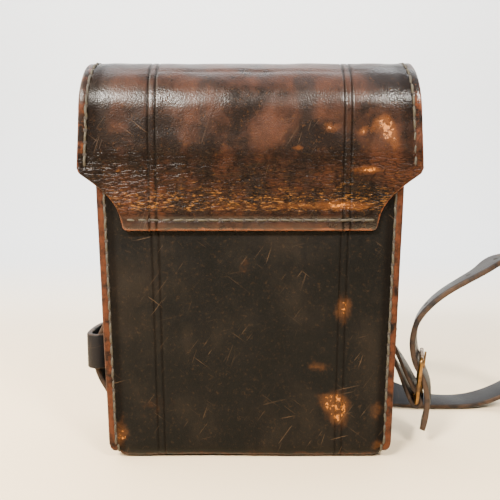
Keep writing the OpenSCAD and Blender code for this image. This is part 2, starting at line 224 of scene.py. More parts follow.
# A leather panel with thickness. Each row is (origin, across, normal, low, high, s)
def leatherShell(name, rows, columnsFor, thickness, lift, marks, material):
    outer, inner, values = [], [], []
    for row in rows:
        origin, across, normal, low, high, s = row
        for c in columnsFor(low, high):
            base = origin + across * c
            outer.append(base + normal * lift(c, row))
            inner.append(base - normal * thickness)
            values.append(marks(c, row))
    wide = len(outer) // len(rows)
    count = len(outer)
    faces = []
    for r in range(len(rows) - 1):
        for c in range(wide - 1):
            a = r * wide + c
            faces.append((a, a + 1, a + wide + 1, a + wide))
            faces.append((count + a, count + a + wide, count + a + wide + 1, count + a + 1))
    rim = list(range(wide))
    rim += [r * wide + wide - 1 for r in range(1, len(rows))]
    rim += [(len(rows) - 1) * wide + c for c in range(wide - 2, -1, -1)]
    rim += [r * wide for r in range(len(rows) - 2, 0, -1)]
    # two loops round the cut edge, full in the middle
    halfway = [(outer[i] + inner[i]) / 2 for i in rim]
    points = outer + inner + halfway
    for k, i in enumerate(rim):
        j, n = rim[(k + 1) % len(rim)], (k + 1) % len(rim)
        faces.append((j, i, 2 * count + k, 2 * count + n))
        faces.append((2 * count + n, 2 * count + k, count + i, count + j))
    middleRow = len(rows) // 2
    probe = middleRow * wide + wide // 2
    a, b, c = points[probe], points[probe + 1], points[probe + wide + 1]
    if (b - a).cross(c - b).dot(rows[middleRow][2]) < 0:
        faces = [tuple(reversed(f)) for f in faces]
    keys = ("edge", "crease", "scuff", "dark")
    attributes = {}
    for k, key in enumerate(keys):
        top = [v[k] for v in values]
        rimValues = [1.0] * len(rim) if key == "edge" else [top[i] for i in rim]
        attributes[key] = top + [v * 0.3 for v in top] + rimValues
    return meshPiece(name, points, faces, material, attributes)


# A band or wire swept along points. widths gives the direction of its width at each point
def sweptBand(name, path, widths, section, material, closed=False, taper=None):
    count, sides = len(path), len(section)
    points, edges = [], []
    for i, p in enumerate(path):
        ahead = path[(i + 1) % count] if closed else path[min(i + 1, count - 1)]
        behind = path[i - 1] if closed else path[max(i - 1, 0)]
        heading = (ahead - behind).normalized()
        width = (widths[i] - heading * widths[i].dot(heading)).normalized()
        normal = heading.cross(width)
        scale = taper(i / (count - 1)) if taper else 1.0
        for across, out in section:
            points.append(p + width * across * scale + normal * out * scale)
            edges.append(1.0 if abs(across) > 0.92 * max(abs(q[0]) for q in section) else 0.0)
    rings = count if closed else count - 1
    faces = []
    for i in range(rings):
        j = (i + 1) % count
        for k in range(sides):
            n = (k + 1) % sides
            faces.append((i * sides + k, i * sides + n, j * sides + n, j * sides + k))
    if not closed:
        faces.append(tuple(reversed(range(sides))))
        faces.append(tuple((count - 1) * sides + k for k in range(sides)))
    area = sum(section[k][0] * section[(k + 1) % sides][1] - section[(k + 1) % sides][0] * section[k][1]
               for k in range(sides))
    # width, normal and heading make a left-handed set, so the winding follows the section's sign
    if area < 0:
        faces = [tuple(reversed(f)) for f in faces]
    marks = {key: [0.0] * len(points) for key in ("crease", "scuff", "dark")}
    return meshPiece(name, points, faces, material, {"edge": edges, **marks})


def bandSection(width, thickness, corner=0.5, steps=3):
    corner = min(corner, thickness / 2 - 0.02)
    spots = []
    for sx, sy, start in ((1, 1, 0), (-1, 1, 90), (-1, -1, 180), (1, -1, 270)):
        for i in range(steps + 1):
            a = math.radians(start + 90 * i / steps)
            spots.append((sx * (width / 2 - corner) + corner * math.cos(a),
                          sy * (thickness / 2 - corner) + corner * math.sin(a)))
    return spots


def roundSection(diameter, sides=14):
    turns = [2 * math.pi * k / sides for k in range(sides)]
    return [(diameter / 2 * math.cos(a), diameter / 2 * math.sin(a)) for a in turns]


def smoothPath(points, step):
    # a smooth curve through given points; each may carry a fourth value
    points = [tuple(p) for p in points]
    ends = [tuple(2 * a - b for a, b in zip(points[0], points[1]))] + points
    ends.append(tuple(2 * a - b for a, b in zip(points[-1], points[-2])))
    made = []
    for i in range(1, len(ends) - 2):
        p0, p1, p2, p3 = ends[i - 1:i + 3]
        pieces = max(1, round(math.dist(p1[:3], p2[:3]) / step))
        for k in range(pieces):
            t = k / pieces
            made.append(tuple(0.5 * (2 * b + (c - a) * t + (2 * a - 5 * b + 4 * c - d) * t * t
                                     + (3 * b - a - 3 * c + d) * t ** 3)
                              for a, b, c, d in zip(p0, p1, p2, p3)))
    made.append(points[-1])
    return made


# Node trees: how they are made, then the groups that the leathers share
def newTree(name, kind, inputs, outputs):
    tree = bpy.data.node_groups.new(name, kind)
    for label, socketKind, value in inputs:
        socket = tree.interface.new_socket(name=label, in_out="INPUT", socket_type=socketKind)
        if value is not None:
            socket.default_value = value
    for label, socketKind in outputs:
        tree.interface.new_socket(name=label, in_out="OUTPUT", socket_type=socketKind)
    return tree, tree.nodes.new("NodeGroupInput"), tree.nodes.new("NodeGroupOutput")


def newGroup(name, inputs, outputs):
    return newTree(name, "ShaderNodeTree", inputs, outputs)


def feed(tree, socket, value):
    # another node's output is linked in, a plain value is set
    if isinstance(value, bpy.types.NodeSocket):
        tree.links.new(value, socket)
    else:
        socket.default_value = value


def addNode(tree, kind, inputs=None, **settings):
    node = tree.nodes.new(kind)
    for name, value in settings.items():
        setattr(node, name, value)
    for label, value in (inputs or {}).items():
        feed(tree, node.inputs[label], value)
    return node


def maths(tree, operation, a, b, clamp=False):
    return addNode(tree, "ShaderNodeMath", {0: a, 1: b}, operation=operation, use_clamp=clamp).outputs[0]


def times(tree, a, b, clamp=False):
    return maths(tree, "MULTIPLY", a, b, clamp)


def noiseAt(tree, vector, scale, detail=4.0, rough=0.55):
    return addNode(tree, "ShaderNodeTexNoise", {
        "Vector": vector, "Scale": scale, "Detail": detail, "Roughness": rough}).outputs["Fac"]


def rangeOf(tree, value, low, high, out0=0.0, out1=1.0, shape="SMOOTHSTEP"):
    return addNode(tree, "ShaderNodeMapRange", {
        "Value": value, "From Min": low, "From Max": high, "To Min": out0, "To Max": out1},
        interpolation_type=shape).outputs["Result"]


def stretchOf(tree, vector, scale, turn=(0, 0, 0)):
    return addNode(tree, "ShaderNodeMapping", {
        "Vector": vector, "Scale": scale, "Rotation": turn}).outputs["Vector"]


def combine(tree, x, y, z):
    return addNode(tree, "ShaderNodeCombineXYZ", {0: x, 1: y, 2: z}).outputs["Vector"]


def placeOf(tree):
    return tree.nodes.new("ShaderNodeTexCoord").outputs["Object"]


def makeGrainGroup():
    # leather grain: small cells with pits between them, and slow unevenness
    tree, given, out = newGroup(
        "leatherGrain",
        [("Cell Scale", "NodeSocketFloat", 1400.0), ("Pit Depth", "NodeSocketFloat", 0.6)],
        [("Height", "NodeSocketFloat"), ("Mottle", "NodeSocketFloat")])
    place = placeOf(tree)
    cells = addNode(tree, "ShaderNodeTexVoronoi", {
        "Vector": place, "Scale": given.outputs["Cell Scale"]}, feature="F1")
    pits = times(tree, cells.outputs["Distance"], given.outputs["Pit Depth"])
    fine = noiseAt(tree, place, 900.0, 3.0)
    slow = noiseAt(tree, place, 90.0, 3.0)
    height = maths(tree, "SUBTRACT", maths(tree, "ADD", times(tree, fine, 0.5),
                                           times(tree, slow, 0.9)), pits)
    tree.links.new(height, out.inputs["Height"])
    tree.links.new(noiseAt(tree, place, 34.0, 5.0, 0.62), out.inputs["Mottle"])
    return tree


def makeWearGroup():
    # breaks a soft mask into ragged rubbed spots
    tree, given, out = newGroup(
        "rubbedWear",
        [("Mask", "NodeSocketFloat", 0.0), ("Break Scale", "NodeSocketFloat", 300.0),
         ("Threshold", "NodeSocketFloat", 0.5), ("Softness", "NodeSocketFloat", 0.12)],
        [("Wear", "NodeSocketFloat")])
    place = placeOf(tree)
    coarse = noiseAt(tree, place, given.outputs["Break Scale"], 6.0, 0.68)
    mixed = maths(tree, "ADD", times(tree, given.outputs["Mask"], 0.75),
                  maths(tree, "SUBTRACT", coarse, 0.5))
    top = maths(tree, "ADD", given.outputs["Threshold"], given.outputs["Softness"])
    tree.links.new(rangeOf(tree, mixed, given.outputs["Threshold"], top), out.inputs["Wear"])
    return tree


def makeScratchGroup():
    # hair-thin scratches in several directions, gathered in patches
    tree, given, out = newGroup(
        "fineScratches",
        [("Amount", "NodeSocketFloat", 0.5)],
        [("Scratch", "NodeSocketFloat")])
    place = placeOf(tree)
    found = None
    for turn, long, thin in ((0.25, 34, 1100), (-0.65, 46, 1300), (1.25, 40, 1000), (0.95, 60, 1500)):
        turned = stretchOf(tree, place, (1, 1, 1), (0, turn, 0))
        line = noiseAt(tree, stretchOf(tree, turned, (long, long, thin)), 1.0, 1.0, 0.5)
        mark = rangeOf(tree, line, 0.715, 0.755)
        found = mark if found is None else maths(tree, "MAXIMUM", found, mark)
    patches = rangeOf(tree, noiseAt(tree, place, 38.0, 3.0), 0.47, 0.66)
    result = times(tree, times(tree, found, patches), given.outputs["Amount"])
    tree.links.new(result, out.inputs["Scratch"])
    return tree


def makeCrackleGroup():
    # the net of small level wrinkles where leather has been folded many times
    tree, given, out = newGroup(
        "foldCrackle",
        [("Across", "NodeSocketFloat", 150.0), ("Down", "NodeSocketFloat", 620.0)],
        [("Line", "NodeSocketFloat"), ("Height", "NodeSocketFloat"), ("Streak", "NodeSocketFloat")])
    across, down = given.outputs["Across"], given.outputs["Down"]
    drawn = stretchOf(tree, placeOf(tree), combine(tree, across, across, down))
    stir = addNode(tree, "ShaderNodeTexNoise", {"Vector": drawn, "Scale": 1.3, "Detail": 3.0})
    shift = addNode(tree, "ShaderNodeVectorMath", {
        0: stir.outputs["Color"], 1: (0.9, 0.9, 0.9), 2: drawn}, operation="MULTIPLY_ADD")
    cells = addNode(tree, "ShaderNodeTexVoronoi", {
        "Vector": shift.outputs["Vector"], "Scale": 1.0}, feature="DISTANCE_TO_EDGE")
    # Line places the painted shade in the cracks, Streak the painted highlights on the ridges
    tree.links.new(rangeOf(tree, cells.outputs["Distance"], 0.0, 0.13, 1.0, 0.0), out.inputs["Line"])
    tree.links.new(rangeOf(tree, cells.outputs["Distance"], 0.0, 0.32), out.inputs["Height"])
    streak = noiseAt(tree, drawn, 1.9, 4.0, 0.7)
    tree.links.new(rangeOf(tree, streak, 0.50, 0.66), out.inputs["Streak"])
    return tree


def placeGroup(tree, group, values):
    return addNode(tree, "ShaderNodeGroup", values, node_tree=group)


def blendColour(tree, factor, a, b):
    a, b = ((*tone, 1) if isinstance(tone, tuple) else tone for tone in (a, b))
    return addNode(tree, "ShaderNodeMix", {"Factor": factor, 6: a, 7: b}, data_type="RGBA").outputs[2]


def markOf(tree, name):
    return addNode(tree, "ShaderNodeAttribute", attribute_name=name).outputs["Fac"]


def newMaterial(name):
    material = bpy.data.materials.new(name)
    material.use_nodes = True
    tree = material.node_tree
    return material, tree, tree.nodes["Principled BSDF"]


def bumpInto(tree, shader, height, strength, distance):
    node = addNode(tree, "ShaderNodeBump", {"Height": height, "Strength": strength, "Distance": distance})
    tree.links.new(node.outputs["Normal"], shader.inputs["Normal"])


grainGroup = makeGrainGroup()
wearGroup = makeWearGroup()
scratchGroup = makeScratchGroup()
crackleGroup = makeCrackleGroup()


def makeLeather(name, tones):
    # tones: deep and warm dye, rubbed leather (its tone also paints the fold highlights), raw leather, and how
    # much of each shows
    material, tree, shader = newMaterial(name)
    grain = placeGroup(tree, grainGroup, {"Cell Scale": tones["cells"], "Pit Depth": 0.6})
    mottle = rangeOf(tree, grain.outputs["Mottle"], tones["mottleLow"], tones["mottleHigh"])
    colour = blendColour(tree, mottle, tones["deep"], tones["warm"])
    place = placeOf(tree)
    # vertical cloudy streaks left by the dye
    streaks = rangeOf(tree, noiseAt(tree, stretchOf(tree, place, (70, 70, 14)), 1.0, 4.0), 0.46, 0.66)
    colour = blendColour(tree, times(tree, streaks, tones["streaks"]), colour, tones["streak"])
    freckles = rangeOf(tree, noiseAt(tree, place, 760.0, 3.0, 0.7), 0.56, 0.72, 0.0, tones["freckles"])
    colour = blendColour(tree, freckles, colour, tones["rubbedAndHighlight"])
    # dark marks: darker along seams, grooves and stitch rows, with painted shade over the top of the lid
    colour = blendColour(tree, times(tree, markOf(tree, "dark"), 0.85), colour, tones["sootAndShade"])
    # folded leather: painted highlights on the ridges in the rubbed tone, painted shade in the cracks
    folded = markOf(tree, "crease")
    crackle = placeGroup(tree, crackleGroup, {"Across": 210.0, "Down": 860.0})
    ridges = placeGroup(tree, wearGroup, {"Mask": folded, "Break Scale": 520.0,
                                          "Threshold": 0.46, "Softness": 0.32})
    ridgeHighlight = times(tree, times(tree, ridges.outputs["Wear"], crackle.outputs["Streak"]), 0.9)
    colour = blendColour(tree, ridgeHighlight, colour, tones["rubbedAndHighlight"])
    crackShade = times(tree, crackle.outputs["Line"], rangeOf(tree, folded, 0.08, 0.5))
    colour = blendColour(tree, times(tree, crackShade, 0.8), colour, tones["sootAndShade"])
    rubbedEdge = placeGroup(tree, wearGroup, {"Mask": markOf(tree, "edge"), "Break Scale": 190.0,
                                              "Threshold": tones["edgeFrom"], "Softness": 0.3})
    colour = blendColour(tree, times(tree, rubbedEdge.outputs["Wear"], 0.9), colour, tones["edge"])
    # a warm halo where the dye has thinned, then bare flecks inside it
    halo = placeGroup(tree, wearGroup, {"Mask": markOf(tree, "scuff"), "Break Scale": 210.0,
                                        "Threshold": 0.34, "Softness": 0.55})
    colour = blendColour(tree, times(tree, halo.outputs["Wear"], 0.85), colour, tones["halo"])
    scuff = placeGroup(tree, wearGroup, {"Mask": markOf(tree, "scuff"), "Break Scale": 430.0,
                                         "Threshold": tones["bareFrom"], "Softness": 0.06})
    colour = blendColour(tree, scuff.outputs["Wear"], colour, tones["raw"])
    scratches = placeGroup(tree, scratchGroup, {"Amount": tones["scratches"]})
    colour = blendColour(tree, scratches.outputs["Scratch"], colour, tones["scratch"])
    tree.links.new(colour, shader.inputs["Base Color"])
    # rubbed places are matt, dark ones keep their polish
    bare = maths(tree, "MAXIMUM", scuff.outputs["Wear"], scratches.outputs["Scratch"])
    cloudy = rangeOf(tree, grain.outputs["Mottle"], 0.3, 0.7, tones["gloss"], tones["gloss"] + 0.14)
    rough = maths(tree, "ADD", cloudy, times(tree, bare, 0.25), True)
    tree.links.new(rough, shader.inputs["Roughness"])
    foldHeight = times(tree, times(tree, crackle.outputs["Height"], folded), 1.25)
    height = maths(tree, "ADD", grain.outputs["Height"], foldHeight)
    height = maths(tree, "SUBTRACT", height, times(tree, bare, 0.7))
    bumpInto(tree, shader, height, tones["bump"], 0.00025)
    # the broken surface of the fold has lost its polish
    dull = maths(tree, "MAXIMUM", times(tree, folded, 2.5, True), markOf(tree, "dark"))
    polish = rangeOf(tree, dull, 0.0, 1.0, tones["shine"], tones["shine"] * 0.25)
    tree.links.new(polish, shader.inputs["Specular IOR Level"])
    return material


lidTones = {
    "deep": (0.0060, 0.0034, 0.0024), "warm": (0.033, 0.0105, 0.0042), "streak": (0.0065, 0.0042, 0.0034),
    "sootAndShade": (0.0030, 0.0022, 0.0018), "rubbedAndHighlight": (0.17, 0.070, 0.015), "edge": (0.115, 0.033, 0.0115),
    "halo": (0.078, 0.026, 0.0065), "raw": (0.29, 0.100, 0.014), "scratch": (0.12, 0.07, 0.038),
    "cells": 1500.0, "mottleLow": 0.42, "mottleHigh": 0.64, "streaks": 0.75, "freckles": 0.14,
    "edgeFrom": 0.40, "bareFrom": 0.745, "scratches": 0.16, "gloss": 0.21, "bump": 0.40, "shine": 0.34,
}
bodyTones = dict(
    lidTones, deep=(0.0019, 0.0019, 0.0018), warm=(0.0078, 0.0056, 0.0038), streak=(0.0016, 0.0016, 0.0015),
    rubbedAndHighlight=(0.075, 0.040, 0.018), halo=(0.052, 0.020, 0.0065), edge=(0.062, 0.0185, 0.0075),
    mottleLow=0.42, mottleHigh=0.72, freckles=0.16, scratches=0.36, gloss=0.42, shine=0.09, bareFrom=0.765)
strapTones = dict(
    lidTones, deep=(0.0075, 0.0075, 0.0085), warm=(0.016, 0.013, 0.013), streak=(0.004, 0.004, 0.005),
    edge=(0.045, 0.026, 0.016), halo=(0.03, 0.02, 0.014), rubbedAndHighlight=(0.07, 0.045, 0.03), freckles=0.08,
    edgeFrom=0.55, scratches=0.25, gloss=0.44, shine=0.12)


def makeThread():
    material, tree, shader = newMaterial("waxedThread")
    place = placeOf(tree)
    fibre = noiseAt(tree, place, 1900.0, 3.0)
    dirt = rangeOf(tree, noiseAt(tree, place, 120.0, 4.0), 0.40, 0.66)
    colour = blendColour(tree, fibre, (0.014, 0.011, 0.0058), (0.046, 0.036, 0.018))
    colour = blendColour(tree, times(tree, dirt, 0.75), colour, (0.016, 0.012, 0.008))
    tree.links.new(colour, shader.inputs["Base Color"])
    shader.inputs["Roughness"].default_value = 0.72
    bumpInto(tree, shader, fibre, 0.7, 0.0002)
    return material


def makeHole():
    # near-black: painted shade for awl holes and punched holes
    material, tree, shader = newMaterial("awlHoleShade")
    tone = noiseAt(tree, placeOf(tree), 800.0, 2.0)
    colour = blendColour(tree, tone, (0.006, 0.005, 0.004), (0.020, 0.012, 0.008))
    tree.links.new(colour, shader.inputs["Base Color"])
    shader.inputs["Roughness"].default_value = 0.85
    return material


def makeCloth():
    material, tree, shader = newMaterial("liningCloth")
    place = placeOf(tree)
    weave = noiseAt(tree, place, 1500.0, 3.0, 0.7)
    nap = noiseAt(tree, place, 60.0, 4.0)
    colour = blendColour(tree, nap, (0.075, 0.010, 0.018), (0.155, 0.028, 0.036))
    colour = blendColour(tree, times(tree, weave, 0.4), colour, (0.045, 0.006, 0.010))
    tree.links.new(colour, shader.inputs["Base Color"])
    shader.inputs["Roughness"].default_value = 0.9
    shader.inputs["Sheen Weight"].default_value = 0.5
    shader.inputs["Sheen Roughness"].default_value = 0.4
    bumpInto(tree, shader, weave, 0.6, 0.0003)
    return material


def makeBrass():
    material, tree, shader = newMaterial("tarnishedBrass")
    place = placeOf(tree)
    cloud = rangeOf(tree, noiseAt(tree, place, 240.0, 6.0, 0.65), 0.36, 0.64)
    colour = blendColour(tree, cloud, (0.22, 0.118, 0.036), (0.050, 0.026, 0.012))
    tree.links.new(colour, shader.inputs["Base Color"])
    tree.links.new(rangeOf(tree, cloud, 0.0, 1.0, 0.28, 0.62), shader.inputs["Roughness"])
    tree.links.new(rangeOf(tree, cloud, 0.2, 1.0, 1.0, 0.72), shader.inputs["Metallic"])
    bumpInto(tree, shader, noiseAt(tree, place, 900.0, 4.0), 0.25, 0.0002)
    return material


def makePaper():
    material, tree, shader = newMaterial("paleTable")
    place = placeOf(tree)
    colour = blendColour(tree, noiseAt(tree, place, 3.0, 2.0), (0.80, 0.63, 0.40), (0.83, 0.665, 0.44))
    parts = addNode(tree, "ShaderNodeSeparateXYZ", {"Vector": place})
    far = rangeOf(tree, parts.outputs["Y"], 0.0, 0.75)
    colour = blendColour(tree, far, colour, (0.80, 0.82, 0.84))
    tree.links.new(colour, shader.inputs["Base Color"])
    shader.inputs["Roughness"].default_value = 0.7
    return material


lidLeather = makeLeather("lidLeather", lidTones)
bodyLeather = makeLeather("bodyLeather", bodyTones)
strapLeather = makeLeather("strapLeather", strapTones)
waxedThread = makeThread()
awlHoleShade = makeHole()
liningCloth = makeCloth()
tarnishedBrass = makeBrass()

makeCamera()
makeLights()
makeFloor(makePaper())
print("camera, lights, floor and finishes made")

# the case that the cord and its trimmings hang on
halfWide = stripHigh.x
halfDeep = stripHigh.y
rimHeight = stripHigh.z


# how the case narrows to its foot: fuller by this much where the lid ends, then drawn in
taperSet = {"full": 0.9, "drawn": 4.485, "top": 125, "reach": (-80, 200)}


def caseHalf(z):
    share = smoothStep(*taperSet["reach"], taperSet["top"] - z)
    return halfWide + taperSet["full"] - taperSet["drawn"] * share


wallRight = caseHalf(50)


def hung(point):
    # the chape, its buckle and the strap's tail hang turned a little about the stitched end
    near, full = (wallRight + reach for reach in strapSet["hangGrows"])
    share = smoothStep(near, full, point.x) * smoothStep(*strapSet["hangEnds"], point.x)
    turn = -math.radians(strapSet["hang"]) * share
    x, y = point.x - wallRight, point.y
    return Vector((wallRight + x * math.cos(turn) - y * math.sin(turn),
                   x * math.sin(turn) + y * math.cos(turn), point.z))


# Shoulder strap: x, y, z in mm and how far its width turns from Y to Z
strapSet = {
    "width": 16.0, "thickness": 2.5, "step": 2.0, "twist": 19.0, "twistFrom": 120.0, "twistTo": 260.0,
    "hungFor": 150.0, "hang": 16.0, "hangGrows": (1, 13), "hangEnds": (125, 96),
    "hole": 1.3, "holePlaces": (13.0, 58.0, 81.0, 104.0),
}
routeOut = [
    (82.9, 0, 8.2, 0), (83.7, 0, 11.5, 0), (84.5, 0, 17, 0), (84.6, 0, 22, 0),
    (83.9, 0, 28, 0), (81.7, 0, 34, 0), (79.0, 0, 39.5, 0), (77.6, 0, 45, 0),
    (77.3, 0, 51, 0), (79.2, 0.3, 59, 0), (84.6, 1, 66.6, 0), (92.6, 2.5, 73.4, 0),
    (103.4, 5, 79.6, 0), (116.2, 8.5, 84.2, 0), (130, 12.5, 85.5, 0), (143, 17, 82.5, 0),
    (154, 21.5, 74, 0), (161, 26, 61, 0), (162.5, 30, 46, 0), (158, 34, 31, 0),
    (148, 37, 17.5, 0), (135, 39, 8, 0), (121, 40.3, 2.7, 0), (107, 41, 1.5, 0),
    (94, 41.3, 2.5, 8), (82, 41.5, 5, 28), (70, 41.5, 7.3, 52), (58, 41.3, 8.2, 74),
    (45, 41, 8.2, 90), (29, 41, 8.2, 90),
]
coilSet = {"centre": (12, 99), "radius": 58, "pitch": 6.5, "turns": 1.5, "base": 8.2,
           "perTurn": 24, "climb": 0.44, "climbRadius": 43, "climbTop": 25, "climbSteps": 8}
routeHome = [
    (14, 52.5, 27, 90), (0, 49.5, 28.5, 90), (-14, 47, 30.5, 90), (-28, 44.5, 33, 90),
    (-42, 41.5, 36, 90), (-54, 37.5, 39, 90), (-63.6, 31.5, 42, 90), (-68.0, 23.5, 44, 90),
    (-67.7, 15, 45, 90), (-66.7, 7, 45, 90), (-66.2, 0, 45, 90), (-66.4, -6, 45, 90),
    (-67.7, -9.5, 45, 90), (-70.4, -10.8, 45, 90), (-73.1, -9.5, 45, 90), (-74.5, -6, 45, 90),
    (-74.7, 1, 45, 90), (-74.0, 8, 45, 90), (-72.5, 14, 45, 90), (-71.2, 20, 44.4, 90),
    (-70.4, 26, 43.3, 90), (-67.2, 31.6, 42.2, 90),
]


def coilRoute():
    cx, cy = coilSet["centre"]
    inner = coilSet["radius"] - coilSet["pitch"] * coilSet["turns"]
    made = []
    steps = round(coilSet["turns"] * coilSet["perTurn"])
    for i in range(steps + 1):
        turn = coilSet["turns"] * i / steps
        a = math.radians(-90 - 360 * turn)
        r = coilSet["radius"] - coilSet["pitch"] * turn
        made.append((cx + r * math.cos(a), cy + r * math.sin(a), coilSet["base"], 90))
    for i in range(1, coilSet["climbSteps"] + 1):
        f = i / coilSet["climbSteps"]
        a = math.radians(-90 - 360 * (coilSet["turns"] + coilSet["climb"] * f))
        r = inner + (coilSet["climbRadius"] - inner) * min(1, 2 * f)
        z = coilSet["base"] + (coilSet["climbTop"] - coilSet["base"]) * f
        made.append((cx + r * math.cos(a), cy + r * math.sin(a), z, 90))
    return made


def makeShoulderStrap():
    route = smoothPath(routeOut + coilRoute() + routeHome, strapSet["step"])
    path, widths = [], []
    travelled = 0.0
    for i, p in enumerate(route):
        spot = Vector(p[:3])
        travelled += (spot - Vector(route[i - 1][:3])).length if i else 0.0
        # the hanging end is turned a little, and the twist runs out over the arch
        turn = math.radians(strapSet["twist"]) * smoothStep(
            strapSet["twistTo"], strapSet["twistFrom"], travelled)
        tilt = math.radians(p[3])
        spot.z = max(spot.z, strapSet["width"] / 2 * math.sin(tilt) + strapSet["thickness"] / 2 + 0.15)
        path.append(hung(spot) if travelled < strapSet["hungFor"] else spot)
        level = math.cos(tilt)
        widths.append(Vector((level * math.sin(turn), level * math.cos(turn), math.sin(tilt))))
    section = bandSection(strapSet["width"], strapSet["thickness"], 0.7)
    strap = sweptBand("shoulderStrap", path, widths, section, strapLeather)
    finishPiece(strap, "case", "strap_leather", "shoulder_strap", "shoulder_strap_coil", "shoulder_strap_end")
    length = sum((b - a).length for a, b in zip(path, path[1:])) * mm
    [tuple(p * mm) for p in path]
    print("shoulder strap", round(length, 3), "m")
    return path, widths


strapPath, strapWidths = makeShoulderStrap()

# Stitches and awl holes, set out by geometry nodes
stitchSet = {"length": 3.9, "thickness": 1.15, "rise": 0.50, "sink": 0.35, "seed": 7, "turn": 0.10}
holeSet = {"size": (1.05, 0.85, 0.24), "seed": 3}


def geometryTree(name, inputs):
    shape = "NodeSocketGeometry"
    return newTree(name, "GeometryNodeTree", [("Geometry", shape, None)] + inputs, [("Geometry", shape)])


def namedVector(tree, name):
    return addNode(tree, "GeometryNodeInputNamedAttribute", {"Name": name},
                   data_type="FLOAT_VECTOR").outputs["Attribute"]


def facingRotation(tree):
    # X along the seam, Z out of the leather
    kind = "FunctionNodeAlignRotationToVector"
    first = addNode(tree, kind, {"Vector": namedVector(tree, "along")}, axis="X")
    return addNode(tree, kind, {"Rotation": first.outputs["Rotation"], "Vector": namedVector(tree, "up")},
                   axis="Z", pivot_axis="X").outputs["Rotation"]


def placeAndFinish(tree, given, out, instance, wobble):
    low, high = ((k * wobble * 0.4, k * wobble * 0.4, k * wobble) for k in (-1, 1))
    seed = given.outputs["Seed"]
    spin = addNode(tree, "FunctionNodeRandomValue", {"Min": low, "Max": high, "Seed": seed},
                   data_type="FLOAT_VECTOR")
    turn = addNode(tree, "FunctionNodeRotateRotation", {
        "Rotation": facingRotation(tree), "Rotate By": spin.outputs["Value"]}, rotation_space="LOCAL")
    size = addNode(tree, "FunctionNodeRandomValue", {2: 0.90, 3: 1.08, "Seed": seed}, data_type="FLOAT")
    chosen = size.outputs["Value"] if size.outputs["Value"].enabled else size.outputs[1]
    points = addNode(tree, "GeometryNodeInstanceOnPoints", {
        "Points": given.outputs["Geometry"], "Instance": instance,
        "Rotation": turn.outputs["Rotation"], "Scale": chosen})
    real = addNode(tree, "GeometryNodeRealizeInstances", {"Geometry": points.outputs["Instances"]})
    shade = addNode(tree, "GeometryNodeSetShadeSmooth", {"Geometry": real.outputs["Geometry"]})
    finish = addNode(tree, "GeometryNodeSetMaterial", {
        "Geometry": shade.outputs["Geometry"], "Material": given.outputs["Material"]})
    tree.links.new(finish.outputs["Geometry"], out.inputs["Geometry"])


def makeStitchTree():
    tree, given, out = geometryTree("saddleStitches", [
        ("Length", "NodeSocketFloat", 0.004), ("Thickness", "NodeSocketFloat", 0.001),
        ("Rise", "NodeSocketFloat", 0.0006), ("Sink", "NodeSocketFloat", 0.0004),
        ("Seed", "NodeSocketInt", 0), ("Material", "NodeSocketMaterial", None)])
    half = times(tree, given.outputs["Length"], 0.5)
    back = times(tree, given.outputs["Length"], -0.5)
    low = times(tree, given.outputs["Sink"], -1.0)
    top = times(tree, given.outputs["Rise"], 2.0)
    arc = addNode(tree, "GeometryNodeCurveQuadraticBezier", {
        "Resolution": 7, "Start": combine(tree, back, 0.0, low),
        "Middle": combine(tree, 0.0, 0.0, top), "End": combine(tree, half, 0.0, low)})
    ring = addNode(tree, "GeometryNodeCurvePrimitiveCircle", {
        "Resolution": 7, "Radius": times(tree, given.outputs["Thickness"], 0.5)})
    tube = addNode(tree, "GeometryNodeCurveToMesh", {
        "Curve": arc.outputs["Curve"], "Profile Curve": ring.outputs["Curve"], "Fill Caps": True})
    placeAndFinish(tree, given, out, tube.outputs["Mesh"], stitchSet["turn"])
    return tree


def makeHoleTree():
    tree, given, out = geometryTree("awlHoles", [
        ("Size", "NodeSocketVector", (0.0008, 0.0006, 0.0002)),
        ("Seed", "NodeSocketInt", 0), ("Material", "NodeSocketMaterial", None)])
    ball = addNode(tree, "GeometryNodeMeshUVSphere", {"Segments": 8, "Rings": 4, "Radius": 1.0})
    flat = addNode(tree, "GeometryNodeTransform", {
        "Geometry": ball.outputs["Mesh"], "Scale": given.outputs["Size"]})
    placeAndFinish(tree, given, out, flat.outputs["Geometry"], 0.25)
    return tree


stitchTree = makeStitchTree()
holeTree = makeHoleTree()


def grown(name, spots, tree, values):
    # spots are (place, along, up); the tree's result becomes a plain mesh
    mesh = bpy.data.meshes.new(name)
    mesh.from_pydata([tuple(p * mm) for p, along, up in spots], [], [])
    for key, k in (("along", 1), ("up", 2)):
        layer = mesh.attributes.new(key, "FLOAT_VECTOR", "POINT")
        layer.data.foreach_set("vector", [c for spot in spots for c in spot[k].normalized()])
    piece = bpy.data.objects.new(name, mesh)
    scene.collection.objects.link(piece)
    modifier = piece.modifiers.new("grow", "NODES")
    modifier.node_group = tree
    sockets = {item.name: item.identifier for item in tree.interface.items_tree
               if item.item_type == "SOCKET" and item.in_out == "INPUT"}
    for label, value in values.items():
        modifier[sockets[label]] = value
    depsgraph = bpy.context.evaluated_depsgraph_get()
    made = bpy.data.meshes.new_from_object(piece.evaluated_get(depsgraph))
    piece.modifiers.remove(modifier)
    piece.data = made
    return piece


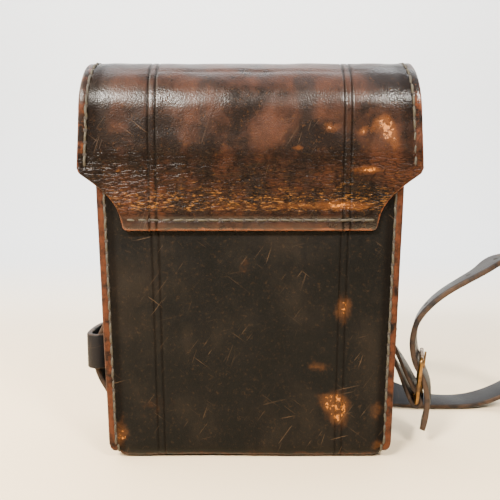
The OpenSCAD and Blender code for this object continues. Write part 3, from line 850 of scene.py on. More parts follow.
def seamPieces(name, spots, body, nodes, length=None):
    # a row of stitches and the awl holes between them
    stitches = grown(name, spots, stitchTree, {
        "Length": (length or stitchSet["length"]) * mm, "Thickness": stitchSet["thickness"] * mm,
        "Rise": stitchSet["rise"] * mm, "Sink": stitchSet["sink"] * mm,
        "Seed": stitchSet["seed"], "Material": waxedThread})
    between = [((a[0] + b[0]) / 2, a[1] + b[1], a[2] + b[2]) for a, b in zip(spots, spots[1:])
               if (a[0] - b[0]).length < 7]
    holes = grown(name + "Holes", between, holeTree, {
        "Size": tuple(s * mm for s in holeSet["size"]), "Seed": holeSet["seed"], "Material": awlHoleShade})
    for piece in (stitches, holes):
        finishPiece(piece, body, "linen_thread")
    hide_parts(*nodes)
    return stitches


# The body
bodySet = {
    "footRadius": 7.0, "leather": 2.6, "flange": 1.6, "flangeWidth": 10.0, "lining": 1.0,
    "seam": 3.5, "pitch": 5.0, "cornerSpan": 8.5, "grooves": (39.0, 42.0), "endRecess": 0.5,
}
# rubbed spots on the back: x, z, width, height, strength
bodySpots = [
    (41, 69, 5, 8, 1.0), (30, 43, 8, 4, 0.75), (36, 27, 10, 7, 0.95), (41, 20, 5, 9, 0.85),
    (57, 22, 4, 8, 0.85), (-59, 11, 5, 8, 1.0), (-43, 25, 14, 7, 0.62), (-2, 87, 7, 7, 0.55),
    (-30, 10, 9, 3, 0.5), (12, 78, 10, 3, 0.45), (60, 6, 6, 5, 0.9), (25, 60, 12, 6, 0.4),
    (-42, 60, 3, 12, 0.4), (48, 90, 8, 6, 0.35),
]


def drawnIn(point):
    return Vector((point.x * caseHalf(point.z) / halfWide, point.y, point.z))


def roundedCorner(point):
    # the case's lower corners are rounded where the seams turn under, and its sides draw in
    point = drawnIn(point)
    span = bodySet["cornerSpan"]
    wide = caseHalf(0)
    dx, dz = abs(point.x) - (wide - span), span - point.z
    if dx <= 0 or dz <= 0:
        return point
    scale = max(dx, dz) / math.hypot(dx, dz)
    x = wide - span + dx * scale
    return Vector((math.copysign(x, point.x), point.y, span - dz * scale))


def bodyLine(inset, top):
    r = bodySet["footRadius"]
    d = halfDeep
    return [
        lineStretch((d - inset, top), (d - inset, r)), arcStretch((d - r, r), r - inset, 0, -90),
        lineStretch((d - r, inset), (r - d, inset)), arcStretch((r - d, r), r - inset, -90, -180),
        lineStretch((inset - d, r), (inset - d, top)),
    ]


def stripRows(line, step, halfAt):
    total = lineLength(line)
    rows = []
    for s in spread(0, total, step):
        point, normal = alongLine(line, s)
        half = halfAt(point)
        rows.append((Vector((0, point.x, point.y)), Vector((1, 0, 0)), Vector((0, normal.x, normal.y)),
                     -half, half, s))
    return rows, total


grooveSteps = (-2.0, -1.1, -0.6, -0.3, 0.0, 0.3, 0.6, 1.1)


def stripColumns(low, high):
    # even places over the middle, finer at the tooled grooves, the seams and the edges
    inner = 46.5
    right = [2.2 * i for i in range(17)]
    for g in bodySet["grooves"]:
        right += [g + d for d in grooveSteps]
    right.append(inner)
    right = sorted(set(round(v, 3) for v in right))
    seam = bodySet["seam"]
    ends = [seam + 1.3, seam + 0.6, seam + 0.3, seam, seam - 0.3, seam - 0.6, *reversed(edgeSteps)]
    span = high - ends[0] - inner
    right += [inner + span * i / 8 for i in range(1, 8)] + [high - e for e in ends]
    return [-v for v in reversed(right)] + right[1:]


def grooveDepth(x):
    return sum(0.42 * bump(abs(x), g, 0.36) for g in bodySet["grooves"])


def spotMask(spots, x, z):
    return min(1.0, sum(k * math.exp(-((x - sx) / w) ** 2 - ((z - sz) / h) ** 2)
                        for sx, sz, w, h, k in spots))


def makeBodyStrip():
    rows, total = stripRows(bodyLine(0, rimHeight), 1.6, lambda point: halfWide)
    seam = bodySet["seam"]

    def lift(x, row):
        origin, across, normal, low, high, s = row
        side = halfWide - abs(x)
        h = -roundOff(side, 1.3) - roundOff(min(s, total - s), 1.0)
        h -= 0.34 * bump(side, seam, 0.6) + grooveDepth(x) * (0 if abs(normal.z) > 0.9 else 1)
        h += 0.35 * (waves(x, s, 3.0, 38) - 0.1) + 0.10 * waves(x, s, 9.0, 9)
        # the walls draw in a little between the stiff seams
        h -= 0.55 * math.cos(math.pi * x / (2 * halfWide)) * (1 if abs(normal.y) > 0.9 else 0.2)
        return h

    def marks(x, row):
        origin, across, normal, low, high, s = row
        side = halfWide - abs(x)
        margin = smoothStep(seam + 0.9, seam - 0.4, side) * 0.78
        edge = max(margin, math.exp(-side / 1.2), math.exp(-min(s, total - s) / 1.6))
        foot = 0.75 * bump(origin.z, 1.0, 4.0)
        scuff = spotMask(bodySpots, x, origin.z) if normal.y < -0.5 else 0.35 * foot
        dark = 0.8 * bump(side, seam + 2.0, 2.2) + sum(0.5 * bump(abs(x), g, 0.7) for g in bodySet["grooves"])
        return min(1.0, max(edge, foot)), 0.0, scuff, min(1.0, dark)

    strip = leatherShell("bodyLeather", rows, stripColumns, bodySet["leather"], lift, marks, bodyLeather)
    reshape(strip, roundedCorner)
    finishPiece(strip, "case", "body_leather", "body_strip")


def reshape(piece, rule):
    for vertex in piece.data.vertices:
        vertex.co = rule(vertex.co / mm) * mm
    piece.data.update()


def endRows(sign, heights, spanAt, outAt, lean=0.0):
    # a panel facing sideways: rows climb, columns run along Y
    normal = Vector((sign, 0, lean)).normalized()
    rows = []
    for z in heights:
        low, high = spanAt(z)
        rows.append((Vector((sign * outAt(z), 0, z)), Vector((0, 1, 0)), normal, low, high, z))
    return rows


def bodySpan(z, inset):
    # how far a body section reaches in Y at this height
    r = bodySet["footRadius"]
    d = halfDeep - inset
    if z >= r:
        return -d, d
    reach = math.sqrt(max(0.0, (r - inset) ** 2 - (r - z) ** 2))
    return -(halfDeep - r) - reach, halfDeep - r + reach


def makeBodyEnd(sign, name, node):
    inset = bodySet["leather"] + 0.15
    heights = spread(inset + 0.2, rimHeight, 1.8)
    heights = sorted(set(heights + [inset + 0.4, inset + 1.0, inset + 1.8, inset + 2.8, inset + 4.2]))
    rows = endRows(sign, heights, lambda z: bodySpan(z, inset), lambda z: halfWide - bodySet["endRecess"])

    def lift(y, row):
        origin, across, normal, low, high, z = row
        side = min(y - low, high - y, z - inset)
        h = -roundOff(side, 2.2) - roundOff(rimHeight - z, 1.0)
        h += 0.4 * math.cos(math.pi * y / (2 * halfDeep)) * smoothStep(0, 30, z) - 0.1
        h += 0.28 * (waves(y, z, 21.0 + sign, 26)) + 0.08 * waves(y, z, 5.0, 7)
        return min(h, bodySet["endRecess"])

    def marks(y, row):
        origin, across, normal, low, high, z = row
        side = min(y - low, high - y)
        edge = max(0.75 * math.exp(-side / 2.6), math.exp(-(rimHeight - z) / 1.6), 0.8 * bump(z, 2, 5))
        scuff = 0.5 * bump(z, 3, 4) + 0.28 * bump(z, 45, 26)
        return min(1.0, edge), 0.0, scuff, 0.5 * bump(z, rimHeight - 10, 9)

    panel = leatherShell(name, rows, evenColumns(halfDeep, 1.9),
                         bodySet["leather"] - bodySet["endRecess"], lift, marks, bodyLeather)
    reshape(panel, roundedCorner)
    finishPiece(panel, "case", "body_leather", node)
    makeFlange(sign, name + "Flange")


def makeFlange(sign, name):
    # the turned-in edge that the strip is sewn to, seen inside the open case
    inset = bodySet["leather"]
    line = bodyLine(inset, rimHeight - 0.4)
    total = lineLength(line)
    outer = halfWide - bodySet["leather"]
    inner = halfWide - bodySet["flangeWidth"]
    rows = []
    for s in spread(0, total, 3.0):
        point, normal = alongLine(line, s)
        rows.append((Vector((0, point.x, point.y)), Vector((sign, 0, 0)), Vector((0, normal.x, normal.y)),
                     inner, outer, s))
    piece = leatherShell(name, rows, lambda low, high: spread(low, high, 1.5), bodySet["flange"],
                         lambda c, row: -0.02, lambda c, row: (0.3, 0.0, 0.0, 0.0), bodyLeather)
    reshape(piece, roundedCorner)
    finishPiece(piece, "case", "body_leather")


def seamSpots(line, x, start, stop, pitch, raise_=0.0):
    spots = []
    count = round((stop - start) / pitch)
    for i in range(count + 1):
        point, normal = alongLine(line, start + (stop - start) * i / count)
        up = Vector((0, normal.x, normal.y))
        along = Vector((0, normal.y, -normal.x))
        spots.append((Vector((x, point.x, point.y)) + up * raise_, along, up))
    return spots


def makeBodySeams():
    line = bodyLine(0, rimHeight)
    total = lineLength(line)
    for sign, side in ((-1, "Left"), (1, "Right")):
        spots = seamSpots(line, sign * (halfWide - bodySet["seam"]), 4, total - 4, bodySet["pitch"], -0.34)
        shaped = []
        for p, along, up in spots:
            # under the case the thread lies in its groove
            sunk = p - up * (0.75 if up.z < -0.5 else 0.0)
            shaped.append((roundedCorner(sunk), along, up))
        seamPieces("bodySeam" + side, shaped, "case", ["body_thread_" + side.lower()])


def noMarks(c, row):
    return 0.0, 0.0, 0.0, 0.0


def makeLining():
    inset = bodySet["leather"] + bodySet["flange"] + 0.05
    top = rimHeight - 1
    lay = bodySet["lining"]
    reach = halfWide - bodySet["leather"] - lay - 0.1
    line = bodyLine(inset, top)
    rows = stripRows(line, 3.0, lambda point: reach)[0]

    def nap(c, row):
        return -0.12 - 0.10 * waves(c, row[5], 17.0, 12)

    cloth = leatherShell("bodyLining", rows, evenColumns(reach, 4.0), lay, nap, noMarks, liningCloth)
    reshape(cloth, drawnIn)
    finishPiece(cloth, "case", "lining_cloth", "body_lining")
    for sign, side in ((-1, "left"), (1, "right")):
        heights = spread(inset + 0.3, top, 3.0)
        rows = endRows(sign, heights, lambda z: bodySpan(z, inset), lambda z: halfWide - bodySet["leather"])
        end = leatherShell("liningEnd" + side.capitalize(), rows, evenColumns(halfDeep, 3.0),
                           lay, nap, noMarks, liningCloth)
        reshape(end, drawnIn)
        finishPiece(end, "case", "lining_cloth", "lining_end_" + side)


makeBodyStrip()
makeBodyEnd(-1, "bodyEndLeft", "body_end_left")
makeBodyEnd(1, "bodyEndRight", "body_end_right")
makeBodySeams()
makeLining()
print("body made")

# The lid and its back flap, one piece of leather
lidSet = {
    "rearRadius": 22.0, "frontRadius": 12.0, "crownRadius": 110.0, "lean": 2.8, "foldZ": 126.0,
    "seam": 3.5, "pitch": 5.0, "flapRow": 4.6, "flapPitch": 4.9, "creaseLow": 103.0, "creaseHigh": 136.0,
    "frontHem": 128.0,
}
# rubbed spots on the lid's back: x, z, width, height, strength
lidSpots = [
    (33, 144.7, 5, 3.2, 1.0), (46, 143, 3.5, 2.5, 0.95), (54, 146.5, 5.5, 4.5, 1.0),
    (60, 138, 2.6, 5, 0.95), (20, 136.4, 3.4, 1.6, 0.9), (43, 127, 10, 5, 0.55),
    (20, 112.5, 34, 2.6, 0.55), (40, 113, 18, 3.6, 0.62), (-8, 112, 16, 2.2, 0.40), (50, 127.5, 5, 2, 0.8),
    (56, 143, 3.5, 5, 0.95), (-60, 160, 5, 6, 0.30), (5, 168, 30, 3, 0.2),
]
lidBack, lidFront, lidTop = lidLow.y, lidHigh.y, lidHigh.z
lidHem = wingLow.z
flapBottom = flapLow.z
lidHalf = lidHigh.x
lidMiddle = (lidBack + lidFront) / 2


def cornerCentre(y, radius):
    rise = math.sqrt((lidSet["crownRadius"] - radius) ** 2 - (y - lidMiddle) ** 2)
    return y, lidTop - lidSet["crownRadius"] + rise


def lidLine(inset, lowBack, lowFront):
    rear, fore, crown = lidSet["rearRadius"], lidSet["frontRadius"], lidSet["crownRadius"]
    rearCentre = cornerCentre(lidBack + rear, rear)
    foreCentre = cornerCentre(lidFront - fore, fore)
    crownCentre = (lidMiddle, lidTop - crown)
    rearTurn = math.degrees(math.atan2(rearCentre[1] - crownCentre[1], rearCentre[0] - crownCentre[0]))
    foreTurn = math.degrees(math.atan2(foreCentre[1] - crownCentre[1], foreCentre[0] - crownCentre[0]))
    return [
        lineStretch((lidBack + inset, lowBack), (lidBack + inset, rearCentre[1])),
        arcStretch(rearCentre, rear - inset, 180, rearTurn),
        arcStretch(crownCentre, crown - inset, rearTurn, foreTurn),
        arcStretch(foreCentre, fore - inset, foreTurn, 0),
        lineStretch((lidFront - inset, foreCentre[1]), (lidFront - inset, lowFront)),
    ]


def endOut(z):
    # where the lid's ends are: leaning in to the top, flaring a little at the hem
    lean = lidSet["lean"] * (z - lidHem) / (lidTop - lidHem)
    return lidHalf - max(0.0, lean)


# the flap's side, from the lid's wings in to its lower corners: height and half width
flapSide = [(102.0, 51.6), (102.3, 52.6), (103.2, 53.3), (106, 53.9), (109, 54.7), (112, 56.0),
            (115, 58.0), (117.5, 60.3), (120, 63.2), (122.5, 66.4), (124.5, 69.2), (126, 71.2), (128, 71.9)]


def flapHalf(z):
    for (z0, w0), (z1, w1) in zip(flapSide, flapSide[1:]):
        if z <= z1:
            return w0 + (w1 - w0) * (max(z, z0) - z0) / (z1 - z0)
    return endOut(z)


def lidRows():
    line = lidLine(0, flapBottom, lidSet["frontHem"])
    total = lineLength(line)
    creaseEnd = lidSet["creaseHigh"] - flapBottom
    places = list(edgeSteps)
    s = edgeSteps[-1]
    while s < total - edgeSteps[-1] - 1.0:
        s += 0.6 if s < creaseEnd else 1.3
        places.append(s)
    places += [total - e for e in reversed(edgeSteps)]
    rows = []
    for s in places:
        point, normal = alongLine(line, s)
        onBack = point.x < lidMiddle and point.y < lidHem
        half = flapHalf(point.y) if onBack else endOut(point.y)
        rows.append((Vector((0, point.x, point.y)), Vector((1, 0, 0)), Vector((0, normal.x, normal.y)),
                     -half, half, s))
    return rows, total


def creaseMask(z):
    low, high = lidSet["creaseLow"], lidSet["creaseHigh"]
    return smoothStep(low + 3, low + 9, z) * smoothStep(high + 6, high - 10, z)


def makeLidLeather():
    rows, total = lidRows()
    seam = lidSet["seam"]

    def onLid(row):
        return row[5] > lidHem - flapBottom

    def lift(x, row):
        origin, across, normal, low, high, s = row
        side = high - abs(x)
        free = 0.9 if onLid(row) else 1.0
        h = -roundOff(side, free) - roundOff(min(s, total - s), 1.0)
        h -= grooveDepth(x)
        if onLid(row):
            h -= 0.32 * bump(side, seam, 0.6)
        elif abs(x) < 50:
            h -= 0.34 * bump(s, lidSet["flapRow"], 0.6)
        back = 1.0 if normal.y < -0.6 else 0.0
        fold = creaseMask(origin.z) * back
        if fold > 0:
            wander = 2.2 * waves(x, origin.z, 4.0, 30, 2)
            ridge = noise.noise(Vector((x * 0.040, (origin.z + wander) * 0.55, 1.5)))
            fine = noise.noise(Vector((x * 0.085, (origin.z + wander) * 1.25, 8.5)))
            h -= fold * (0.20 * max(0.0, 0.22 - abs(ridge)) / 0.22 + 0.14 * max(0.0, 0.2 - abs(fine)) / 0.2)
        h += 0.45 * waves(x, s, 13.0, 34) + 0.10 * waves(x, s, 2.0, 8)
        h -= 0.5 * math.cos(math.pi * x / (2 * high)) * back * smoothStep(30, 50, s)
        return min(h, 0.25)

    def marks(x, row):
        origin, across, normal, low, high, s = row
        side = high - abs(x)
        onBack = normal.y < -0.3
        margin = smoothStep(seam + 0.9, seam - 0.4, side) * 0.58 if onLid(row) else 0.0
        edge = max(margin, math.exp(-side / 1.5), 1.1 * math.exp(-s / 1.7), math.exp(-(total - s) / 1.7))
        crease = creaseMask(origin.z) * (0.62 + 0.38 * bump(origin.z, 113, 6)) if onBack else 0.0
        scuff = spotMask(lidSpots, x, origin.z) if onBack else 0.3 * bump(origin.z, lidTop, 2)
        dark = 0.7 * bump(side, seam + 2.2, 2.4) * (1 if onLid(row) else 0)
        dark += sum(0.95 * bump(abs(x), g, 0.6) for g in bodySet["grooves"])
        dark += 0.55 * bump(s, lidSet["flapRow"], 1.6) * (1 if onBack else 0)
        dark += 0.4 * smoothStep(30, 60, abs(x)) * bump(origin.z, 158, 12) * (x < 0)
        # painted shade: the top of the lid made darker, away from its middle
        dark += 0.55 * smoothStep(164, 173, origin.z) * smoothStep(8, 45, abs(x))
        return min(1.0, edge), crease, scuff, min(1.0, dark)

    leather = leatherShell("lidLeather", rows, stripColumns, bodySet["leather"], lift, marks, lidLeather)
    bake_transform(leather)
    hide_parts("lid_strip", "hinge_flap")


def lidSpan(z, inset):
    # how far the lid reaches in Y at this height
    rear, fore, crown = lidSet["rearRadius"], lidSet["frontRadius"], lidSet["crownRadius"]
    rearY, rearZ = cornerCentre(lidBack + rear, rear)
    foreY, foreZ = cornerCentre(lidFront - fore, fore)
    low, high = lidBack + inset, lidFront - inset
    crownReach = math.sqrt(max(0.0, (crown - inset) ** 2 - (z - lidTop + crown) ** 2))
    if z > rearZ:
        low = rearY - math.sqrt(max(0.0, (rear - inset) ** 2 - (z - rearZ) ** 2))
    if z > foreZ:
        high = foreY + math.sqrt(max(0.0, (fore - inset) ** 2 - (z - foreZ) ** 2))
    if z - rearZ > (rear - inset) * 0.985:
        low = max(low, lidMiddle - crownReach)
    if z - foreZ > (fore - inset) * 0.985:
        high = min(high, lidMiddle + crownReach)
    return low, high


def makeLidEnd(sign, name, node):
    inset = bodySet["leather"] + 0.15
    top = lidTop - inset - 0.35
    heights = spread(lidHem, top, 1.6)
    rows = endRows(sign, heights, lambda z: lidSpan(z, inset),
                   lambda z: endOut(z) - 0.35, lidSet["lean"] / (lidTop - lidHem))

    def lift(y, row):
        origin, across, normal, low, high, z = row
        side = min(y - low, high - y, top - z + 0.4)
        h = -roundOff(side, 2.0) - roundOff(z - lidHem, 1.1)
        h += 0.25 * (waves(y, z, 31.0 + sign, 22)) + 0.07 * waves(y, z, 5.0, 6)
        return min(h, 0.3)

    def marks(y, row):
        origin, across, normal, low, high, z = row
        side = min(y - low, high - y, top - z)
        edge = max(0.7 * math.exp(-side / 2.4), math.exp(-(z - lidHem) / 1.8))
        return min(1.0, edge), 0.25 * bump(z, lidHem, 7), 0.25 * bump(z, 150, 9), 0.3 * bump(side, 5, 3)

    panel = leatherShell(name, rows, evenColumns(lidMiddle - lidBack, 1.9),
                         bodySet["leather"] - 0.4, lift, marks, lidLeather)
    finishPiece(panel, "lid", "lid_leather", node)


def makeLidSeams():
    line = lidLine(0, lidHem, lidSet["frontHem"])
    total = lineLength(line)
    for sign, side in ((-1, "Left"), (1, "Right")):
        spots = []
        for p, along, up in seamSpots(line, 0, 3.2, total - 3.2, lidSet["pitch"], -0.30):
            spots.append((Vector((sign * (endOut(p.z) - lidSet["seam"]), p.y, p.z)), along, up))
        seamPieces("lidSeam" + side, spots, "lid", ["lid_thread_" + side.lower()])
    reach = flapHalf(flapBottom + lidSet["flapRow"]) - 4.2
    count = round(2 * reach / lidSet["flapPitch"])
    spots = [(Vector((-reach + 2 * reach * i / count, lidBack + 0.32, flapBottom + lidSet["flapRow"])),
              Vector((1, 0, 0)), Vector((0, -1, 0))) for i in range(count + 1)]
    seamPieces("flapSeam", spots, "case", ["hinge_thread"])


def makeLidLining():
    inset = bodySet["leather"] + bodySet["flange"] + 0.6
    low = rimHeight + 2
    line = lidLine(inset, low, low)
    rows = stripRows(line, 3.0, lambda point: endOut(point.y) - bodySet["leather"] - 0.4)[0]
    cloth = leatherShell("lidLining", rows, evenColumns(lidHalf, 4.0), bodySet["lining"],
                         lambda c, row: -0.05 - 0.10 * waves(c, row[5], 17.0, 12),
                         noMarks, liningCloth)
    finishPiece(cloth, "lid", "lining_cloth", "lid_lining")


makeLidLeather()
makeLidEnd(-1, "lidEndLeft", "lid_end_left")
makeLidEnd(1, "lidEndRight", "lid_end_right")
makeLidSeams()
makeLidLining()
print("lid made")

# Straps, loops and buckles
trimSet = {
    "loopWidth": 16.0, "loopThickness": 2.4, "chapeWidth": 15.0, "chapeThickness": 2.0, "slit": 1.5,
    "frontWidth": 15.0, "frontThickness": 1.6, "wire": 2.0, "frameHalf": 9.5, "prong": 1.5,
    "keeperThickness": 1.8, "keeperHeight": 8.0, "corner": 1.7,
}
heelBar, topBar = (79.5, 21.0), (81.2, 42.0)
frontPivot, frontBar = (28.7, 86.0), (27.6, 108.0)


def joinPieces(name, pieces):
    mesh = bmesh.new()
    for piece in pieces:
        mesh.from_mesh(piece.data)
    whole = pieces[0]
    mesh.to_mesh(whole.data)
    mesh.free()
    for piece in pieces[1:]:
        bpy.data.objects.remove(piece)
    whole.name = name
    whole.data.name = name
    return whole


def bandPiece(name, line, place, width, across, thickness, offset=0.0, step=1.0, corner=0.6):
    # line is in a side view; place turns it into space, across is the way of the width
    path = [place(*p) + across * offset for p in smoothPath(line, step)]
    section = bandSection(width, thickness, corner)
    return sweptBand(name, path, [across] * len(path), section, strapLeather)


def sideView(x, z):
    return Vector((x, 0, z))


def frontView(y, z):
    return Vector((0, y, z))


def turnedLine(centre, radius, start, end, steps):
    return [(centre[0] + radius * math.cos(math.radians(start + (end - start) * i / steps)),
             centre[1] + radius * math.sin(math.radians(start + (end - start) * i / steps)))
            for i in range(steps + 1)]


def chapePiece(name, place, across, width, thickness, down, bend, back):
    # leather folded round a bar: whole on both legs, slit for the prong where it bends
    slit = trimSet["slit"]
    narrow = width / 2 - slit
    shift = slit + narrow / 2
    parts = [bandPiece(name, down, place, width, across, thickness),
             bandPiece(name, back, place, width, across, thickness)]
    for sign in (-1, 1):
        parts.append(bandPiece(name, bend, place, narrow, across, thickness, sign * shift, 0.5))
    return joinPieces(name, parts)


def wireFrame(name, place, a, b, half, wire, corner):
    # a buckle frame bent from round wire: bars at a and b, sides at half width
    a, b = Vector(a), Vector(b)
    length = (b - a).length
    along = (b - a).normalized()
    flat = []
    for sx, sy, start in ((1, 0, -90), (1, 1, 0), (-1, 1, 90), (-1, 0, 180)):
        centre = (sx * (half - corner), corner if sy == 0 else length - corner)
        flat += turnedLine(centre, corner, start, start + 90, 5)
    path = [place(side, a + along * up) for side, up in flat]
    normal = place(0, Vector((along.y, -along.x))) - place(0, Vector((0, 0)))
    return sweptBand(name, path, [normal] * len(path), roundSection(wire), tarnishedBrass, closed=True)


def prongPiece(name, place, a, tip, thickness):
    # an eye round the bar and a tongue tapering to its tip
    eye = [place(0, Vector(p)) for p in turnedLine(a, 1.72, 0, 330, 22)]
    side = place(1, Vector((0, 0))) - place(0, Vector((0, 0)))
    ring = sweptBand(name, eye, [side] * len(eye), bandSection(2.3, 1.1, 0.4), tarnishedBrass, closed=True)
    a, tip = Vector(a), Vector(tip)
    along = (tip - a).normalized()
    out = Vector((along.y, -along.x))
    line = [a + out * 1.7 + along * 0.2, a + out * 1.75 + along * 2, a + (tip - a) * 0.35 + out * 0.9,
            a + (tip - a) * 0.7 + out * 0.3, tip]
    path = [place(0, Vector(p)) for p in smoothPath(line, 0.8)]
    rod = sweptBand(name, path, [side] * len(path), roundSection(thickness), tarnishedBrass,
                    taper=lambda t: 1.08 - 0.42 * t)
    return joinPieces(name, [ring, rod])


def sideOf(across, spot):
    return Vector((spot.x, across, spot.y))


def frontOf(across, spot):
    return Vector((across, spot.x, spot.y))


def makeSideLoop():
    shape = [(72.3, 0), (68, 0), (64, 0.05), (60.6, 0.7), (56.2, 2.7), (51.0, 5.4), (46.2, 7.0), (41, 7.5),
             (35.8, 7.0), (31.0, 5.4), (25.8, 2.7), (21.4, 0.7), (18, 0.05), (14, 0), (9.7, 0)]
    line = [(-caseHalf(z) - 1.1 - out, z) for z, out in shape]
    loop = bandPiece("sideLoop", line, sideView, trimSet["loopWidth"], Vector((0, 1, 0)),
                     trimSet["loopThickness"], corner=0.9)
    finishPiece(loop, "case", "strap_leather", "side_loop_left")
    out = Vector((-1, 0, 0))
    spots = []
    for z in (70.2, 63.6, 18.4, 11.8):
        face = -caseHalf(z) - 2.3
        spots += [(Vector((face, y, z)), Vector((0, 1, 0)), out) for y in (-5.4, -1.8, 1.8, 5.4)]
    for y in (-6.0, 6.0):
        for z in (66.9, 15.1):
            spots.append((Vector((-caseHalf(z) - 2.3, y, z)), Vector((0, 0, 1)), out))
    seamPieces("sideLoopSeam", spots, "case", ["side_loop_thread"], 3.0)


def makeRightChape():
    radius = 2.08
    wall = wallRight - 0.1
    legs = 28.0
    down = [(wall + 1.0, 59.8), (wall + 1.0, 54), (wall + 1.05, 48.5), (wall + 2.2, 44.6), (76.6, 22.2)]
    back = [(80.3, 23.8), (wall + 4.6, 45.6), (wall + 3.5, 49.0), (wall + 3.4, 54), (wall + 3.4, 59.8)]
    bend = [(76.1, 23.1), (77.3, 20.9)] + turnedLine(heelBar, radius, 180 + legs + 20, 360 + legs - 12, 8) + [
        (80.7, 23.2), (79.6, 25.2)]
    chape = chapePiece("rightChape", sideView, Vector((0, 1, 0)), trimSet["chapeWidth"],
                       trimSet["chapeThickness"], down, bend, back)
    reshape(chape, hung)
    finishPiece(chape, "case", "strap_leather", "strap_chape_right")
    face = wall + 4.45
    out = Vector((1, 0, 0))
    spots = [(Vector((face, y, z)), Vector((0, 1, 0)), out)
             for z in (51.0, 57.4) for y in (-4.8, -1.6, 1.6, 4.8)]
    spots += [(Vector((face, y, 54.2)), Vector((0, 0, 1)), out) for y in (-5.6, 5.6)]
    seamPieces("chapeSeam", spots, "case", ["chape_thread"], 3.0)
    buckle = wireFrame("sideBuckle", sideOf, heelBar, topBar, trimSet["frameHalf"], trimSet["wire"],
                       trimSet["corner"])
    reshape(buckle, hung)
    finishPiece(buckle, "case", "buckle_brass", "strap_buckle")
    prong = prongPiece("sideProng", sideOf, heelBar, (83.0, 43.4), trimSet["prong"])
    reshape(prong, hung)
    finishPiece(prong, "case", "buckle_brass", "strap_prong")


def makeStrapEndSeam():
    # where the strap's end, brought back round the loop, is sewn down
    out = Vector((-0.978, 0.208, 0))
    along = Vector((0, 0, 1))
    spots = []
    for y, x, z in ((17.2, -71.8, 44.7), (23.0, -70.8, 43.9)):
        spots += [(Vector((x, y, z + dz)) + out * 1.2, along, out) for dz in (-5.4, -1.8, 1.8, 5.4)]
    seamPieces("strapEndSeam", spots, "case", ["strap_end_thread"], 2.9)


def makeFrontChape():
    radius = 1.88
    wallY, outY = halfDeep + 0.8, frontPivot[0] + radius
    down = [(wallY, 58.3), (wallY, 66), (wallY, 74), (wallY, 81.0)]
    back = [(outY, 81.0), (outY, 74), (outY, 66), (outY, 58.3)]
    bend = [(wallY, 80.2), (wallY, 84.2)] + turnedLine(frontPivot, radius, 172, 8, 8)
    bend += [(outY, 84.2), (outY, 80.2)]
    width = trimSet["frontWidth"]
    across = Vector((1, 0, 0))
    chape = chapePiece("frontChape", frontView, across, width, trimSet["frontThickness"], down, bend, back)
    middle = (wallY + outY) / 2
    filler = bandPiece("frontChapeFiller", [(middle, z) for z in (58.4, 64, 70, 76)], frontView,
                       width - 0.2, across, outY - wallY - 1.4, corner=0.3)
    chape = joinPieces("frontChape", [chape, filler])
    finishPiece(chape, "case", "strap_leather", "front_chape")
    out = Vector((0, 1, 0))
    face = outY + 0.8 - 0.1
    spots = [(Vector((x, face, z)), Vector((0, 0, 1)), out)
             for x in (-5.6, 5.6) for z in (60.8, 64.6, 68.4, 72.2, 76)]
    spots += [(Vector((x, face, 59.4)), Vector((1, 0, 0)), out) for x in (-3.6, 0, 3.6)]
    seamPieces("frontChapeSeam", spots, "case", ["front_chape_thread"], 3.1)
    buckle = wireFrame("frontBuckle", frontOf, frontPivot, frontBar, trimSet["frameHalf"], trimSet["wire"],
                       trimSet["corner"])
    finishPiece(buckle, "front_buckle", "buckle_brass", "front_buckle_frame")
    prong = prongPiece("frontProng", frontOf, frontPivot, (29.45, 109.0), 1.4)
    finishPiece(prong, "front_prong", "buckle_brass", "front_buckle_prong")


def makeKeeper():
    half, low, high, corner = 10.4, halfDeep + 0.95, 36.85, 2.6
    line = []
    for sx, sy, start in ((1, 0, -90), (1, 1, 0), (-1, 1, 90), (-1, 0, 180)):
        centre = (sx * (half - corner), high - corner if sy else low + corner)
        line += turnedLine(centre, corner, start, start + 90, 5)
    z = 46 + trimSet["keeperHeight"] / 2
    path = [Vector((x, y, z)) for x, y in line]
    section = bandSection(trimSet["keeperHeight"], trimSet["keeperThickness"], 0.6)
    widths = [Vector((0, 0, 1))] * len(path)
    keeper = sweptBand("frontKeeper", path, widths, section, strapLeather, closed=True)
    finishPiece(keeper, "case", "strap_leather", "front_keeper")


closingSet = {"half": 8.0, "thickness": 2.4, "tabTop": 158.0, "pivotZ": 129.0, "length": 62.0,
              "tilt": 35.0, "bendFrom": -2.5, "bendTo": 3.0, "holes": (28.0, 35.0, 42.0, 49.0), "hole": 1.4,
              "tip": (53, 11.2, 3.2, 0.9)}


def closingLine():
    # the strap's outer face, down the tab, round the bend and out to the point
    thick = closingSet["thickness"]
    spot = Vector((0, lidFront + thick, closingSet["tabTop"]))
    step = 0.6
    length = closingSet["tabTop"] - closingSet["pivotZ"]
    s = -length
    line = []
    while s <= closingSet["length"] + 1e-6:
        turn = closingSet["tilt"] * smoothStep(closingSet["bendFrom"], closingSet["bendTo"], s)
        a = math.radians(turn)
        line.append((s, spot.copy(), Vector((0, math.cos(a), math.sin(a)))))
        spot += Vector((0, math.sin(a), -math.cos(a))) * step
        s += step
    return line


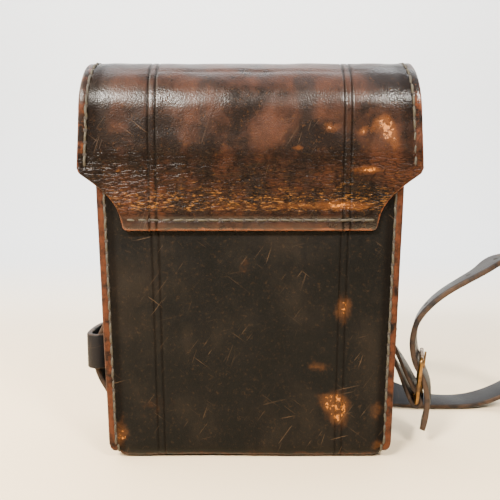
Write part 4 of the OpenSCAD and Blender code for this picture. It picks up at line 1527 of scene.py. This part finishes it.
def makeClosingStrap():
    line = closingLine()
    start, stop = line[0][0], line[-1][0]
    rows = []
    # the point: a wide arc, cut back on each side
    tipFrom, radius, cut, least = closingSet["tip"]
    for s, spot, normal in line:
        half = closingSet["half"]
        if s > tipFrom:
            half = max(least, radius * math.sqrt(max(0.0, 1 - ((s - tipFrom) / radius) ** 2)) - cut)
        rows.append((spot, Vector((1, 0, 0)), normal, -half, half, s))

    def lift(x, row):
        side = min(row[4] - abs(x), row[5] - start, stop - row[5] + 0.3)
        h = -roundOff(side, 0.9) - 0.22 * bump(row[4] - abs(x), 1.7, 0.4)
        return h + 0.10 * waves(x, row[5], 41.0, 14)

    def marks(x, row):
        side = min(row[4] - abs(x), stop - row[5])
        edge = math.exp(-side / 1.0)
        bend = 0.7 * bump(row[5], 0.5, 4)
        around = max(bump(math.hypot(x, row[5] - h), 0, 3.2) for h in closingSet["holes"])
        return min(1.0, edge), bend, 0.35 * around, 0.5 * around

    strap = leatherShell("closingStrap", rows, evenColumns(closingSet["half"], 1.6), closingSet["thickness"],
                         lift, marks, strapLeather)
    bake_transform(strap)
    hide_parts("closing_strap_tab", "closing_strap")
    out = Vector((0, 1, 0))
    face = lidFront + closingSet["thickness"] - 0.15
    spots = []
    for x in (-5.8, 5.8):
        spots += [(Vector((x, face, z)), Vector((0, 0, 1)), out) for z in (136, 140.2, 144.4, 148.6, 152.8)]
    for z in (133.6, 155.9):
        spots += [(Vector((x, face, z)), Vector((1, 0, 0)), out) for x in (-3.8, 0, 3.8)]
    seamPieces("closingSeam", spots, "lid", ["closing_tab_thread"], 3.3)
    punched = []
    for place in closingSet["holes"]:
        s, spot, normal = min(line, key=lambda item: abs(item[0] - place))
        punched.append((spot, normal))
        punched.append((spot - normal * closingSet["thickness"], -normal))
    holes = punchedHoles("closingHoles", punched, closingSet["hole"])
    finishPiece(holes, "closing_strap", "strap_leather")


def punchedHoles(name, spots, radius):
    # dark discs a hair proud of the leather: painted shade where punched holes are
    points, faces, sides = [], [], 16
    for spot, normal in spots:
        u = normal.orthogonal().normalized()
        v = normal.cross(u)
        first = len(points)
        for lift in (-0.25, 0.10):
            for k in range(sides):
                a = 2 * math.pi * k / sides
                points.append(spot + normal * lift + (u * math.cos(a) + v * math.sin(a)) * radius)
        low = [first + k for k in range(sides)]
        high = [first + sides + k for k in range(sides)]
        faces.append(tuple(reversed(low)))
        faces.append(tuple(high))
        for k in range(sides):
            n = (k + 1) % sides
            faces.append((low[k], low[n], high[n], high[k]))
    piece = meshPiece(name, points, faces, awlHoleShade)
    piece.data.polygons.foreach_set("use_smooth", [False] * len(piece.data.polygons))
    return piece


def makeStrapHoles():
    spots = []
    half = strapSet["thickness"] / 2
    travelled, wanted = 0.0, list(strapSet["holePlaces"])
    for i in range(1, len(strapPath) - 1):
        travelled += (strapPath[i] - strapPath[i - 1]).length
        if wanted and travelled >= wanted[0]:
            wanted.pop(0)
            normal = (strapPath[i + 1] - strapPath[i - 1]).normalized().cross(strapWidths[i]).normalized()
            spots += [(strapPath[i] + normal * half, normal), (strapPath[i] - normal * half, -normal)]
    holes = punchedHoles("strapHoles", spots, strapSet["hole"])
    finishPiece(holes, "case", "strap_leather")


makeSideLoop()
makeRightChape()
makeStrapEndSeam()
makeFrontChape()
makeKeeper()
makeClosingStrap()
makeStrapHoles()
print("straps and buckles made")
